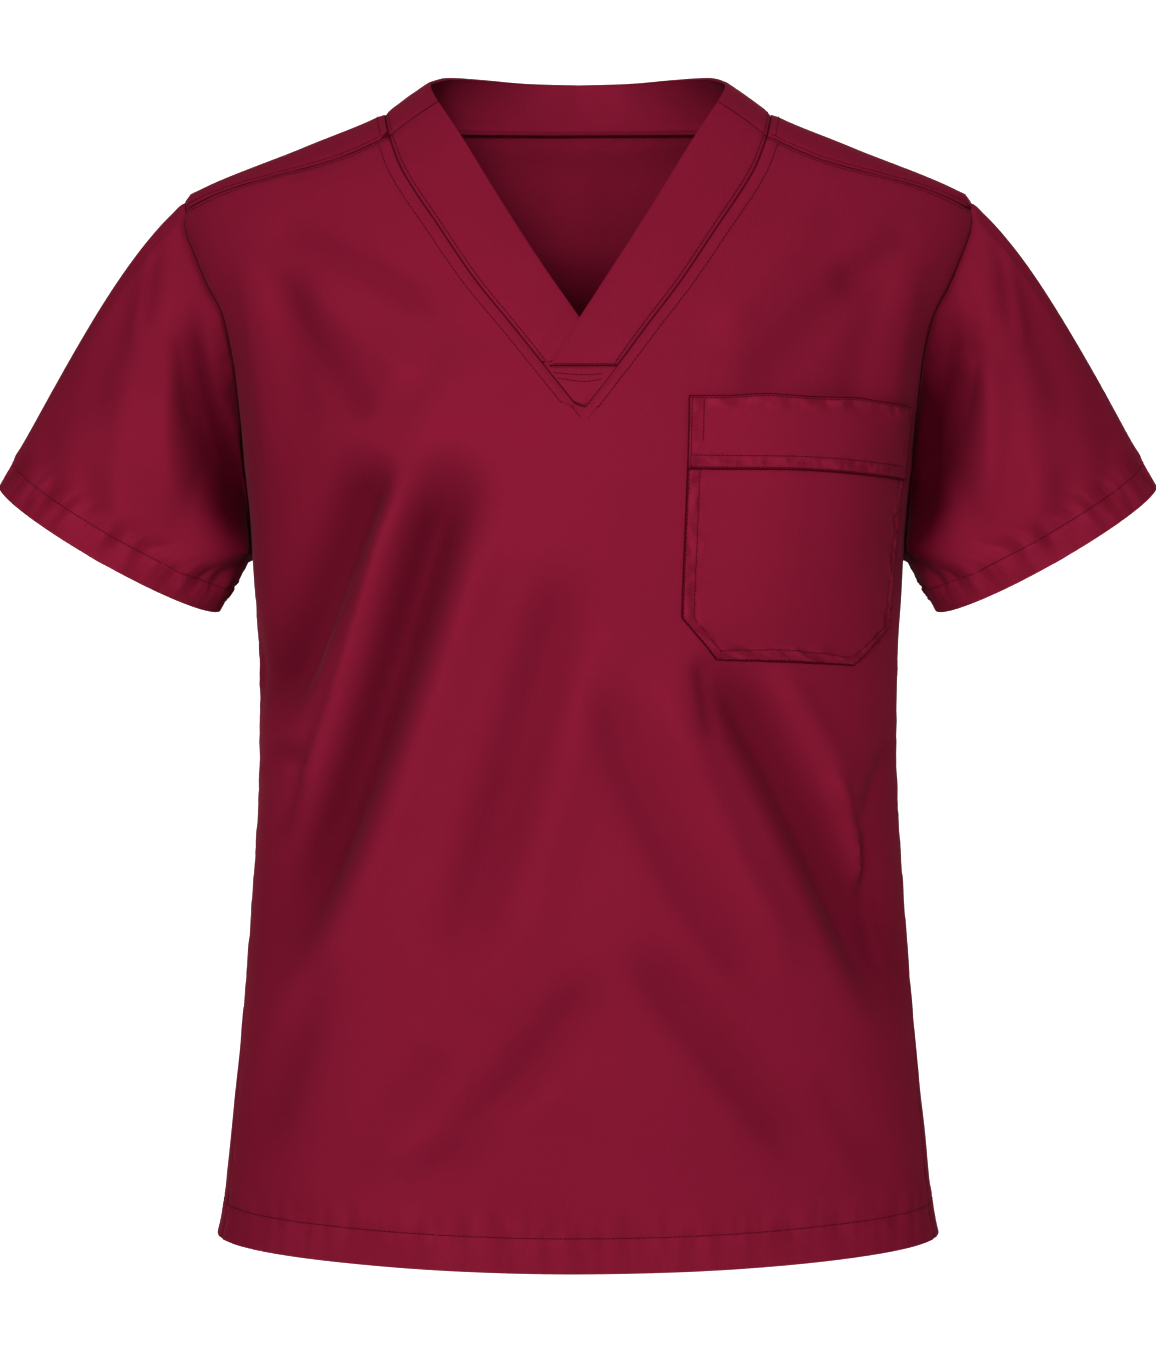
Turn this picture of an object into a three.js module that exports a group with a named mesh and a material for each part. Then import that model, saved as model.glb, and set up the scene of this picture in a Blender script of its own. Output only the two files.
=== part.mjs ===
import * as THREE from "three";

// A V-neck scrub top with short set-in sleeves and one chest pocket, filled out as if worn.
// Millimetres. Z is up, the front faces -Y and +X is the wearer's left.
// The origin lies between the shoulders, level with the neck seam on the shoulder ridge.

// Cloth
const clothWall = 1.2;
const bandWall = 2;
const hemTurn = 0.9;
const seamInset = 0.15;
const foldedSeamInset = 0.5;
const leastSpread = 0.4;

// Where the cloth bends outward over the shoulder tip
const tipFold = { lowZ: -130, highZ: -80, innerX: 215, outerX: 235 };

// Heights
const underarmZ = -228;
const sideHemZ = -689;
const centreHemDrop = 8.5;
const hemDepth = 21;
const hemStep = 1.5;
const neckRingRise = 2;
const vPoint = { x: 2, z: -194 };
const vShiftFromZ = -90;
const vShiftToZ = -330;
const vShiftWay = 0.6;
const vShiftFullWay = 0.1;
const shoulderLowZ = -74;
const shoulderHighZ = 12;
const shoulderTipBow = 1.4;

// Side seam, as a share of the way from front centre (0) to the widest line (1)
const sideSeamHem = 0.86;
const sideSeamUnderarm = 1;

// Mesh of the panels
const frontColumns = 24;
const bodyRows = 17;
const frontUpperRows = 12;
const rowsBelowV = 2;
const rowsBesideInset = 2;
const backColumns = 16;
const shoulderColumns = 8;
const backUpperRows = 9;
const overShoulderRows = 4;
const arcSteps = 48;
const halvings = 40;

// Level sections of the body: half width, reach forward, reach back, squareness
const sections = [
  { z: 40, half: 60, front: 58, back: 79, square: 2 },
  { z: 0, half: 118.7, front: 66, back: 80, square: 2 },
  { z: -22, half: 171.5, front: 71, back: 86, square: 2 },
  { z: -50, half: 239, front: 78, back: 93, square: 2.1 },
  { z: -63, half: 245.5, front: 82, back: 97, square: 2.15 },
  { z: -75, half: 246, front: 86, back: 100, square: 2.2 },
  { z: -91, half: 240.5, front: 91, back: 104, square: 2.3 },
  { z: -110, half: 232, front: 96, back: 107, square: 2.35 },
  { z: -126, half: 224, front: 100, back: 109, square: 2.4 },
  { z: -152, half: 215.5, front: 106, back: 111, square: 2.4 },
  { z: -185, half: 209, front: 113, back: 112, square: 2.5 },
  { z: -228, half: 204.5, front: 118, back: 112, square: 2.5 },
  { z: -252, half: 202, front: 118.5, back: 111, square: 2.5 },
  { z: -280, half: 200.5, front: 119, back: 109, square: 2.5 },
  { z: -340, half: 197, front: 118, back: 105, square: 2.5 },
  { z: -410, half: 196.5, front: 117, back: 103, square: 2.5 },
  { z: -480, half: 200.5, front: 116, back: 104, square: 2.6 },
  { z: -550, half: 206, front: 115, back: 106, square: 2.6 },
  { z: -630, half: 214, front: 113, back: 108, square: 2.6 },
  { z: -673, half: 219, front: 112, back: 109, square: 2.6 },
  { z: -700, half: 225, front: 112, back: 110, square: 2.6 },
];

// Seam lines on the wearer's left, seen from the front or back
const frontArmhole = [
  { x: 204.5, z: -228 },
  { x: 206, z: -205 },
  { x: 208, z: -180 },
  { x: 211.5, z: -150 },
  { x: 217.5, z: -126 },
  { x: 226.5, z: -110 },
  { x: 235, z: -91 },
  { x: 241.5, z: -74 },
  { x: 242, z: -62 },
];
const backArmhole = [
  { x: 204.5, z: -228 },
  { x: 205.5, z: -205 },
  { x: 206.5, z: -180 },
  { x: 211.5, z: -150 },
  { x: 221, z: -120 },
  { x: 232, z: -95 },
  { x: 239.5, z: -78 },
  { x: 242, z: -67 },
];
const shoulderSeam = [
  { x: 114.2, z: -22 },
  { x: 138.8, z: -33.4 },
  { x: 160, z: -40 },
  { x: 187, z: -46 },
  { x: 217, z: -53.5 },
  { x: 242, z: -62 },
];
const neckSeam = [
  { x: 0, z: -194 },
  { x: 20.7, z: -167 },
  { x: 40, z: -141.5 },
  { x: 60.7, z: -114.5 },
  { x: 83, z: -80.6 },
  { x: 104.8, z: -46 },
  { x: 114.2, z: -22 },
];

// Lines over the shoulder, seen from above
const behindShoulder = [
  { x: 242, y: 14 },
  { x: 225, y: 26 },
  { x: 195, y: 36 },
  { x: 160, y: 40 },
  { x: 107.6, y: 34 },
];
const neckOverShoulder = [
  { x: 107.6, y: 34 },
  { x: 118.7, y: 0 },
  { x: 118.5, y: -20 },
  { x: 117, y: -38 },
  { x: 114.2, y: -53.4 },
];

// Neckband from the back centre to its shoulder seam: seam edge and free edge
const backBand = [
  { seamX: 0, seamY: 80, seamZ: 2, freeX: 0, freeY: 84, freeZ: 35 },
  { seamX: 40, seamY: 75, seamZ: 2, freeX: 33, freeY: 79, freeZ: 35 },
  { seamX: 77.8, seamY: 60.5, seamZ: 1.5, freeX: 62, freeY: 60, freeZ: 34 },
  { seamX: 107.6, seamY: 34, seamZ: 0, freeX: 82, freeY: 33, freeZ: 30 },
  { seamX: 118.7, seamY: 0, seamZ: 0, freeX: 91, freeY: 5, freeZ: 22.5 },
  { seamX: 118.5, seamY: -20, seamZ: -2.5, freeX: 91, freeY: -15, freeZ: 16.5 },
  { seamX: 117, seamY: -38, seamZ: -10, freeX: 88.5, freeY: -32, freeZ: 8.5 },
  { seamX: 114.2, seamY: -53.4, seamZ: -22, freeX: 84.5, freeY: -46, freeZ: 0 },
];

// Neckband from its shoulder seam down the V, on the front's own surface
const overBand = [
  { seamX: 104.8, seamZ: -46, freeX: 70, freeZ: -24 },
  { seamX: 83, seamZ: -80.6, freeX: 50, freeZ: -58 },
  { seamX: 60.7, seamZ: -114.5, freeX: 30, freeZ: -91 },
  { seamX: 40, seamZ: -141.5, freeX: 12, freeZ: -119 },
  { seamX: 30, seamZ: -155, freeX: -3, freeZ: -142 },
  { seamX: 21.4, seamZ: -166.4, freeX: -18.6, freeZ: -166.4 },
];
const underBand = [
  { seamX: 104.8, seamZ: -46, freeX: 70, freeZ: -24 },
  { seamX: 83, seamZ: -80.6, freeX: 50, freeZ: -58 },
  { seamX: 60.7, seamZ: -114.5, freeX: 30, freeZ: -91 },
  { seamX: 40, seamZ: -141.5, freeX: 12, freeZ: -119 },
  { seamX: 31, seamZ: -153.2, freeX: 0, freeZ: -137 },
  { seamX: 21.4, seamZ: -166.4, freeX: -8, freeZ: -150 },
];
const lapLine = { fromX: 0.3, fromZ: -137.4, toX: -18.4, toZ: -166.3 };
const lapDepth = 4.2;
const lapReach = 20;
const lapEdge = 0.5;
const insetColumns = 4;
const bandColumns = 4;
const bandBow = 1.2;

// Sleeve
const cuffCentre = { x: 290, z: -268.5 };
const cuffHalfWidth = 78.5;
const cuffHalfDepth = 50;
const cuffUp = { x: 0.864, z: 0.503 };
const cuffDown = { x: 0.503, z: -0.864 };
const cuffFrontDrop = 9;
const cuffBackRise = 3;
const cuffHem = 17.5;
const cuffHemShare = 0.105;
const cuffStepShare = 0.01;
const sleeveRows = 11;
const capLeave = { x: 0.76, z: -0.65 };
const underarmLeave = { x: 0.06, z: -1 };
const sleeveClear = 1.6;
const sleeveClearBy = 0.09;
const sideLeave = 0.55;
const leaveLength = 0.8;
const arriveLength = 0.9;

// Pocket on the wearer's left chest
const pocket = {
  topLeft: { x: 62.8, z: -184.4 },
  topRight: { x: 199.3, z: -185.4 },
  lowLeft: { x: 59.7, z: -314.2 },
  lowRight: { x: 187, z: -319 },
  bottomLeft: { x: 80.8, z: -338.6 },
  bottomRight: { x: 163.5, z: -342 },
  bandDepth: 43.5,
  off: 0.8,
  swell: 7.5,
  mouthShare: 0.95,
  sideReach: 0.45,
  mouthReach: 0.4,
  footReach: 0.55,
};
const pocketColumns = 14;
const pocketRows = 8;
const chamferRows = 3;
const pocketBandRows = 3;

// Largest folds: soft troughs (depth below 0) and ridges, each on a curve through three points
const frontFolds = [
  { fromX: -119, fromZ: -222, midX: -147, midZ: -282, toX: -189, toZ: -380, depth: -9, width: 13 },
  { fromX: -105, fromZ: -225, midX: -140, midZ: -325, toX: -184, toZ: -425, depth: 5, width: 14 },
  { fromX: -80, fromZ: -222, midX: -112, midZ: -355, toX: -190, toZ: -525, depth: -13, width: 18 },
  { fromX: -62, fromZ: -235, midX: -104, midZ: -415, toX: -204, toZ: -630, depth: 6, width: 17 },
  { fromX: -20, fromZ: -275, midX: -46, midZ: -449, toX: -106, toZ: -612, depth: -4, width: 17 },
  { fromX: 60, fromZ: -350, midX: 74, midZ: -378, toX: 98, toZ: -420, depth: -4, width: 12 },
  { fromX: 92, fromZ: -352, midX: 132, midZ: -455, toX: 176, toZ: -630, depth: -11, width: 20 },
  { fromX: 66, fromZ: -352, midX: 106, midZ: -475, toX: 162, toZ: -634, depth: 5, width: 17 },
  { fromX: 22, fromZ: -350, midX: 64, midZ: -479, toX: 132, toZ: -606, depth: -4, width: 17 },
  { fromX: 12, fromZ: -526, midX: -34, midZ: -583, toX: -118, toZ: -664, depth: -3.5, width: 15 },
  { fromX: -167, fromZ: -64, midX: -125, midZ: -100, toX: -92, toZ: -148, depth: -3, width: 13 },
  { fromX: 164, fromZ: -64, midX: 126, midZ: -98, toX: 96, toZ: -140, depth: -3, width: 13 },
];
const backFolds = [
  { fromX: -150, fromZ: -215, midX: -120, midZ: -330, toX: -96, toZ: -470, depth: -9, width: 18 },
  { fromX: -120, fromZ: -235, midX: -88, midZ: -350, toX: -70, toZ: -520, depth: 5, width: 17 },
  { fromX: 146, fromZ: -220, midX: 112, midZ: -345, toX: 84, toZ: -500, depth: -10, width: 18 },
  { fromX: 114, fromZ: -240, midX: 82, midZ: -360, toX: 52, toZ: -540, depth: 5, width: 17 },
  { fromX: -10, fromZ: -330, midX: 4, midZ: -470, toX: 20, toZ: -625, depth: -6, width: 20 },
  { fromX: -150, fromZ: -440, midX: -136, midZ: -540, toX: -146, toZ: -650, depth: -6, width: 17 },
  { fromX: 148, fromZ: -420, midX: 140, midZ: -530, toX: 152, toZ: -655, depth: -6, width: 17 },
];
const sleeveFolds = [
  { fromX: 286, fromZ: -125, midX: 292, midZ: -160, toX: 300, toZ: -212, depth: -4, width: 11 },
  { fromX: 262, fromZ: -110, midX: 270, midZ: -190, toX: 280, toZ: -268, depth: 4, width: 12 },
  { fromX: 250, fromZ: -120, midX: 245, midZ: -170, toX: 250, toZ: -228, depth: -5, width: 10 },
];
const foldSteps = 10;
const foldEndFade = 0.22;
const foldSideFade = 26;

// Sleeve folds lie on its front and rear only and fade out at the armhole
const sleeveFoldEdge = { from: 0.2, to: 0.7 };
const sleeveFoldStart = { from: 0.05, to: 0.3 };

function mix(a, b, t) {
  return a + (b - a) * t;
}

function smooth(low, high, value) {
  const t = Math.min(1, Math.max(0, (value - low) / (high - low)));
  return t * t * (3 - 2 * t);
}

// A column of a table at a place along another, curved smoothly through its rows
function along(table, key, column, place) {
  const rising = table[table.length - 1][key] > table[0][key];
  const rows = rising ? table : [...table].reverse();
  const last = rows.length - 1;
  if (place <= rows[0][key]) return rows[0][column];
  if (place >= rows[last][key]) return rows[last][column];
  let k = 0;
  while (rows[k + 1][key] < place) k += 1;
  const step = rows[k + 1][key] - rows[k][key];
  const slope = (i) => {
    const low = rows[Math.max(0, i - 1)];
    const high = rows[Math.min(last, i + 1)];
    return (high[column] - low[column]) / (high[key] - low[key]);
  };
  const t = (place - rows[k][key]) / step;
  const start = (2 * t ** 3 - 3 * t ** 2 + 1) * rows[k][column];
  const end = (3 * t ** 2 - 2 * t ** 3) * rows[k + 1][column];
  const leave = (t ** 3 - 2 * t ** 2 + t) * step * slope(k);
  const arrive = (t ** 3 - t ** 2) * step * slope(k + 1);
  return start + end + leave + arrive;
}

// Adds to each row how far along the line it lies, as a share of its length
function withShares(line, columns) {
  let length = 0;
  const rows = line.map((row, i) => {
    if (i > 0) length += Math.hypot(...columns.map((c) => row[c] - line[i - 1][c]));
    return { ...row, length };
  });
  return rows.map((row) => ({ ...row, share: row.length / length }));
}

function onLine(line, columns, share) {
  const place = {};
  for (const c of columns) place[c] = along(line, "share", c, share);
  return place;
}

const kept = {};

// One quarter of a level section, from its centre to the side, with its running length
function quarter(z, back) {
  const name = `${z.toFixed(3)}${back}`;
  if (kept[name]) return kept[name];
  const half = along(sections, "z", "half", z);
  const deep = along(sections, "z", back ? "back" : "front", z);
  const square = along(sections, "z", "square", z);
  const rows = [];
  for (let i = 0; i <= arcSteps; i += 1) {
    const angle = (Math.PI / 2) * (i / arcSteps);
    const x = half * Math.sin(angle) ** (2 / square);
    const y = i === arcSteps ? 0 : deep * Math.cos(angle) ** (2 / square);
    const before = rows[i - 1];
    const length = before ? before.length + Math.hypot(x - before.x, y - before.y) : 0;
    rows.push({ x, y, length });
  }
  kept[name] = { rows, half, deep, square, length: rows[arcSteps].length };
  return kept[name];
}

function fromRows(rows, key, value) {
  let k = 0;
  while (k < rows.length - 2 && rows[k + 1][key] < value) k += 1;
  const t = Math.min(1, Math.max(0, (value - rows[k][key]) / (rows[k + 1][key] - rows[k][key])));
  const length = mix(rows[k].length, rows[k + 1].length, t);
  return { x: mix(rows[k].x, rows[k + 1].x, t), length };
}

// Depth forward or back of the body at a width and height
function reach(x, z, back) {
  const part = quarter(z, back);
  const share = Math.min(1, Math.abs(x) / part.half);
  return part.deep * (1 - share ** part.square) ** (1 / part.square);
}

// Width of the body at a depth and height
function bodyX(y, z) {
  const part = quarter(z, y > 0);
  const share = Math.min(1, Math.abs(y) / part.deep);
  return part.half * (1 - share ** part.square) ** (1 / part.square);
}

// Way round the body: 0 front centre, 1 the widest line, 2 back centre
function wayOf(x, z, back) {
  const part = quarter(z, back);
  const share = fromRows(part.rows, "x", Math.abs(x)).length / part.length;
  return back ? 2 - share : share;
}

function curvePoints(fold) {
  const list = [];
  for (let i = 0; i <= foldSteps; i += 1) {
    const t = i / foldSteps;
    const a = (1 - t) * (1 - 2 * t);
    const b = 4 * t * (1 - t);
    const c = t * (2 * t - 1);
    const x = a * fold.fromX + b * fold.midX + c * fold.toX;
    const z = a * fold.fromZ + b * fold.midZ + c * fold.toZ;
    list.push({ x, z, t });
  }
  return list;
}

// Height of all folds in a list at a place on the cloth
function foldHeight(folds, x, z) {
  let height = 0;
  for (const fold of folds) {
    fold.curve ??= curvePoints(fold);
    let nearest = Infinity;
    let at = 0;
    for (let i = 0; i < foldSteps; i += 1) {
      const p = fold.curve[i];
      const q = fold.curve[i + 1];
      const spanX = q.x - p.x;
      const spanZ = q.z - p.z;
      const along01 = ((x - p.x) * spanX + (z - p.z) * spanZ) / (spanX ** 2 + spanZ ** 2);
      const t = Math.min(1, Math.max(0, along01));
      const gap = Math.hypot(x - p.x - t * spanX, z - p.z - t * spanZ);
      if (gap < nearest) {
        nearest = gap;
        at = mix(p.t, q.t, t);
      }
    }
    const ends = smooth(0, foldEndFade, at) * smooth(0, foldEndFade, 1 - at);
    height += fold.depth * ends * Math.exp(-((nearest / fold.width) ** 2));
  }
  return height;
}

function sideSeamWay(z) {
  return mix(sideSeamUnderarm, sideSeamHem, smooth(underarmZ, sideHemZ, z));
}

// A point of the body cloth. Side is 1 for the wearer's left and -1 for the right.
function bodyPoint(side, way, z) {
  const back = way > 1;
  const part = quarter(z, back);
  const share = back ? 2 - way : way;
  const found = fromRows(part.rows, "length", share * part.length);
  const deep = reach(found.x, z, back);
  const x = side * found.x;
  const y = back ? deep : -deep;
  const towardX = (found.x / part.half) ** (part.square - 1) / part.half;
  const towardY = (deep / part.deep) ** (part.square - 1) / part.deep;
  const size = Math.hypot(towardX, towardY);
  const fromSeam = Math.abs(way - sideSeamWay(z)) * part.length;
  const onBack = way > sideSeamWay(z);
  const fade = smooth(0, foldSideFade, fromSeam);
  const lift = fade * foldHeight(onBack ? backFolds : frontFolds, x, z);
  const outX = (side * lift * towardX) / size;
  const outY = ((back ? 1 : -1) * lift * towardY) / size;
  return new THREE.Vector3(x + outX + neckShift(way, z), y + outY, z);
}

// The V lies a little to one side
function neckShift(way, z) {
  const high = smooth(vShiftFromZ, vPoint.z, z) * smooth(vShiftToZ, vPoint.z, z);
  return way < vShiftWay ? vPoint.x * high * smooth(vShiftWay, vShiftFullWay, way) : 0;
}

// Height of the shoulder over a place seen from above
function shoulderZ(x, y) {
  let low = shoulderLowZ;
  let high = shoulderHighZ;
  for (let i = 0; i < halvings; i += 1) {
    const z = (low + high) / 2;
    const part = quarter(z, y > 0);
    const size = (Math.abs(x) / part.half) ** part.square + (Math.abs(y) / part.deep) ** part.square;
    if (size > 1) high = z;
    else low = z;
  }
  return (low + high) / 2;
}

// A patch between four edges that are given as functions of a share
function patch(bottom, top, start, end, keys) {
  return (s, t) => {
    const place = {};
    for (const k of keys) {
      const across = mix(start(t)[k], end(t)[k], s);
      const upward = mix(bottom(s)[k], top(s)[k], t);
      const corners = mix(mix(bottom(0)[k], bottom(1)[k], s), mix(top(0)[k], top(1)[k], s), t);
      place[k] = across + upward - corners;
    }
    return place;
  };
}

function newSheet() {
  return { points: [], quads: [], known: new Map() };
}

function addPoint(sheet, point) {
  const key = nameOf(point);
  if (!sheet.known.has(key)) {
    sheet.known.set(key, sheet.points.length);
    sheet.points.push(point.clone());
  }
  return sheet.known.get(key);
}

// Adds a block of quads; columns run to the right and rows upward, seen from outside
function addBlock(sheet, columns, rows, pointAt, mirrored) {
  const index = [];
  for (let j = 0; j <= rows; j += 1) {
    index.push([]);
    for (let i = 0; i <= columns; i += 1) index[j].push(addPoint(sheet, pointAt(i, j)));
  }
  for (let j = 0; j < rows; j += 1) {
    for (let i = 0; i < columns; i += 1) {
      const low = [index[j][i], index[j][i + 1]];
      const high = [index[j + 1][i + 1], index[j + 1][i]];
      const quad = [...low, ...high];
      sheet.quads.push(mirrored ? quad.reverse() : quad);
    }
  }
}

function hemZ(way) {
  return sideHemZ - centreHemDrop * Math.cos((Math.PI / 2) * way) ** 2;
}

// Height of a row of the lower body, with two rows close together at the top of the hem
function bodyRowZ(row, way) {
  const edge = hemZ(way);
  if (row === 0) return edge;
  if (row === 1) return edge + hemDepth;
  const start = edge + hemDepth + hemStep;
  return mix(start, underarmZ, (row - 2) / (bodyRows - 2));
}

function lowerBlock(sheet, side, columns, wayAt) {
  const at = (i, j) => {
    const seam = sideSeamWay(bodyRowZ(j, 1));
    const way = wayAt(i / columns, seam);
    return bodyPoint(side, way, bodyRowZ(j, way));
  };
  addBlock(sheet, columns, bodyRows, at, side < 0);
}

const armholeFrontLine = withShares(frontArmhole, ["x", "z"]);
const armholeBackLine = withShares(backArmhole, ["x", "z"]);
const shoulderSeamLine = withShares(shoulderSeam, ["x", "z"]);
const neckSeamLine = withShares(neckSeam, ["x", "z"]);
const behindLine = withShares(behindShoulder, ["x", "y"]);
const neckOverLine = withShares(neckOverShoulder, ["x", "y"]);

function wayOnFront(place) {
  return { way: wayOf(place.x, place.z, false), z: place.z };
}

// The front's centre edge in its upper part: up to the V, then along the neck seam,
// with a row where the bands end above the inset
function frontInnerEdge(t) {
  const row = t * frontUpperRows;
  if (row <= rowsBelowV) return { way: 0, z: mix(underarmZ, vPoint.z, row / rowsBelowV) };
  const above = row - rowsBelowV;
  const insetShare = neckSeamLine[1].share;
  if (above <= rowsBesideInset) {
    return wayOnFront(onLine(neckSeamLine, ["x", "z"], (insetShare * above) / rowsBesideInset));
  }
  const rest = (above - rowsBesideInset) / (frontUpperRows - rowsBelowV - rowsBesideInset);
  return wayOnFront(onLine(neckSeamLine, ["x", "z"], mix(insetShare, 1, rest)));
}

const frontUpper = patch(
  (s) => ({ way: s, z: underarmZ }),
  (s) => wayOnFront(onLine(shoulderSeamLine, ["x", "z"], s)),
  frontInnerEdge,
  (t) => (t === 0 ? { way: 1, z: underarmZ } : wayOnFront(onLine(armholeFrontLine, ["x", "z"], t))),
  ["way", "z"],
);

// The shoulder seam runs straight between the points that front and back share
function shoulderSeamPoint(side, share) {
  const step = share * shoulderColumns;
  const k = Math.min(shoulderColumns - 1, Math.floor(step + 1e-6));
  const [low, high] = [k, k + 1].map((i) => {
    const place = onLine(shoulderSeamLine, ["x", "z"], i / shoulderColumns);
    return bodyPoint(side, wayOf(place.x, place.z, false), place.z);
  });
  return low.lerp(high, step - k);
}

function frontUpperPoint(side, i, j) {
  if (j === frontUpperRows) return shoulderSeamPoint(side, i / frontColumns);
  const place = frontUpper(i / frontColumns, j / frontUpperRows);
  return bodyPoint(side, Math.max(0, place.way), place.z);
}

function frontSheet() {
  const sheet = newSheet();
  for (const side of [1, -1]) {
    lowerBlock(sheet, side, frontColumns, (s, seam) => s * seam);
    const at = (i, j) => frontUpperPoint(side, i, j);
    addBlock(sheet, frontColumns, frontUpperRows, at, side < 0);
  }
  return sheet;
}

// The back's top edge below the shoulder: the line behind the shoulder, then the neck
function backTopEdge(s) {
  const turn = shoulderColumns / backColumns;
  if (s <= turn) {
    const place = onLine(behindLine, ["x", "y"], s / turn);
    const z = shoulderZ(place.x, place.y);
    return { way: wayOf(place.x, z, true), z };
  }
  const start = wayOf(behindShoulder[behindShoulder.length - 1].x, 0, true);
  const t = (s - turn) / (1 - turn);
  return { way: mix(start, 2, t), z: neckRingRise * smooth(0, 1, t) };
}

function backArmholeEdge(t) {
  if (t === 0) return { way: 1, z: underarmZ };
  if (t === 1) return backTopEdge(0);
  const place = onLine(armholeBackLine, ["x", "z"], t);
  return { way: wayOf(place.x, place.z, true), z: place.z };
}

const backUpper = patch(
  (s) => ({ way: 1 + s, z: underarmZ }),
  backTopEdge,
  backArmholeEdge,
  (t) => ({ way: 2, z: mix(underarmZ, neckRingRise, t) }),
  ["way", "z"],
);

function backUpperPoint(side, i, j) {
  const place = backUpper(i / backColumns, j / backUpperRows);
  return bodyPoint(side, place.way, place.z);
}

function seenFromAbove(place) {
  return { x: place.x, y: -reach(place.x, place.z, false) };
}

const overShoulder = patch(
  (s) => onLine(behindLine, ["x", "y"], s),
  (s) => seenFromAbove(onLine(shoulderSeamLine, ["x", "z"], 1 - s)),
  (t) => {
    const front = seenFromAbove(shoulderSeam[shoulderSeam.length - 1]);
    const rear = behindShoulder[0];
    const bow = shoulderTipBow * Math.sin(Math.PI * t);
    return { x: mix(rear.x, front.x, t) + bow, y: mix(rear.y, front.y, t) };
  },
  (t) => onLine(neckOverLine, ["x", "y"], t),
  ["x", "y"],
);

function overShoulderPoint(side, i, j) {
  const s = i / shoulderColumns;
  if (j === 0) return backUpperPoint(side, i, backUpperRows);
  if (j === overShoulderRows) return shoulderSeamPoint(side, 1 - s);
  const place = overShoulder(s, j / overShoulderRows);
  return new THREE.Vector3(side * place.x, place.y, shoulderZ(place.x, place.y));
}

function backSheet() {
  const sheet = newSheet();
  for (const side of [1, -1]) {
    lowerBlock(sheet, side, backColumns, (s, seam) => mix(seam, 2, s));
    const upper = (i, j) => backUpperPoint(side, i, j);
    addBlock(sheet, backColumns, backUpperRows, upper, side < 0);
    const over = (i, j) => overShoulderPoint(side, i, j);
    addBlock(sheet, shoulderColumns, overShoulderRows, over, side < 0);
  }
  return sheet;
}

// The armhole seam on the wearer's left, from the underarm up the front and down the back,
// each point with its turn: 0 at the underarm, 0.5 on the ridge and 1 at the underarm again
function armholeRing() {
  const ring = [];
  for (let j = 0; j <= frontUpperRows; j += 1) ring.push(frontUpperPoint(1, frontColumns, j));
  for (let j = overShoulderRows - 1; j > 0; j -= 1) ring.push(overShoulderPoint(1, 0, j));
  for (let j = backUpperRows; j > 0; j -= 1) ring.push(backUpperPoint(1, 0, j));
  const middle = frontUpperRows + overShoulderRows / 2;
  const lengths = [0];
  for (let k = 1; k <= ring.length; k += 1) {
    lengths.push(lengths[k - 1] + ring[k % ring.length].distanceTo(ring[k - 1]));
  }
  const total = lengths[ring.length];
  const turns = ring.map((p, k) => {
    if (k <= middle) return (0.5 * lengths[k]) / lengths[middle];
    return 0.5 + (0.5 * (lengths[k] - lengths[middle])) / (total - lengths[middle]);
  });
  return { ring, turns };
}

// A point of the sleeve: around is the armhole point, t runs from armhole (0) to cuff (1)
function sleevePoint(hole, around, t) {
  const start = hole.ring[around];
  const angle = Math.PI * (1 - 2 * hole.turns[around]);
  const high = Math.cos(angle);
  const forward = Math.sin(angle);
  const drop = forward > 0 ? cuffFrontDrop * forward : cuffBackRise * forward;
  const end = new THREE.Vector3(
    cuffCentre.x + high * cuffHalfWidth * cuffUp.x + drop * cuffDown.x,
    -forward * cuffHalfDepth,
    cuffCentre.z + high * cuffHalfWidth * cuffUp.z + drop * cuffDown.z,
  );
  const share = (1 + high) / 2;
  const leaveX = mix(underarmLeave.x, capLeave.x, share);
  const leaveZ = mix(underarmLeave.z, capLeave.z, share);
  const leave = new THREE.Vector3(leaveX, -sideLeave * forward, leaveZ).normalize();
  const chord = start.distanceTo(end);
  leave.multiplyScalar(chord * leaveLength);
  const arrive = new THREE.Vector3(cuffDown.x, 0, cuffDown.z).multiplyScalar(chord * arriveLength);
  const point = new THREE.Vector3();
  point.addScaledVector(start, 2 * t ** 3 - 3 * t ** 2 + 1);
  point.addScaledVector(leave, t ** 3 - 2 * t ** 2 + t);
  point.addScaledVector(end, 3 * t ** 2 - 2 * t ** 3);
  point.addScaledVector(arrive, t ** 3 - t ** 2);
  const facing = smooth(sleeveFoldEdge.from, sleeveFoldEdge.to, Math.abs(forward));
  const begun = smooth(sleeveFoldStart.from, sleeveFoldStart.to, t);
  const folded = foldHeight(sleeveFolds, point.x, point.z) * facing * begun;
  point.y -= Math.sign(forward) * folded;
  const lowest = bodyX(point.y, point.z) + sleeveClear;
  point.x += Math.max(0, lowest - point.x) * smooth(0, sleeveClearBy, t);
  return point;
}

function sleeveRowShare(row) {
  if (row === sleeveRows) return 1;
  if (row === sleeveRows - 1) return 1 - cuffHemShare;
  return ((1 - cuffHemShare - cuffStepShare) * row) / (sleeveRows - 2);
}

function sleeveSheet(side) {
  const sheet = newSheet();
  const hole = armholeRing();
  const count = hole.ring.length;
  const at = (i, j) => {
    const point = sleevePoint(hole, i % count, sleeveRowShare(j));
    point.x *= side;
    return point;
  };
  addBlock(sheet, count, sleeveRows, at, side > 0);
  return sheet;
}

// The panels' own points along the neck seam on one side, from the back centre to the V
function neckEdge(side) {
  const edge = [];
  for (let i = backColumns; i > shoulderColumns; i -= 1) {
    edge.push(backUpperPoint(side, i, backUpperRows));
  }
  for (let j = 0; j < overShoulderRows; j += 1) edge.push(overShoulderPoint(side, shoulderColumns, j));
  for (let j = frontUpperRows; j >= rowsBelowV; j -= 1) edge.push(frontUpperPoint(side, 0, j));
  return edge;
}

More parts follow.
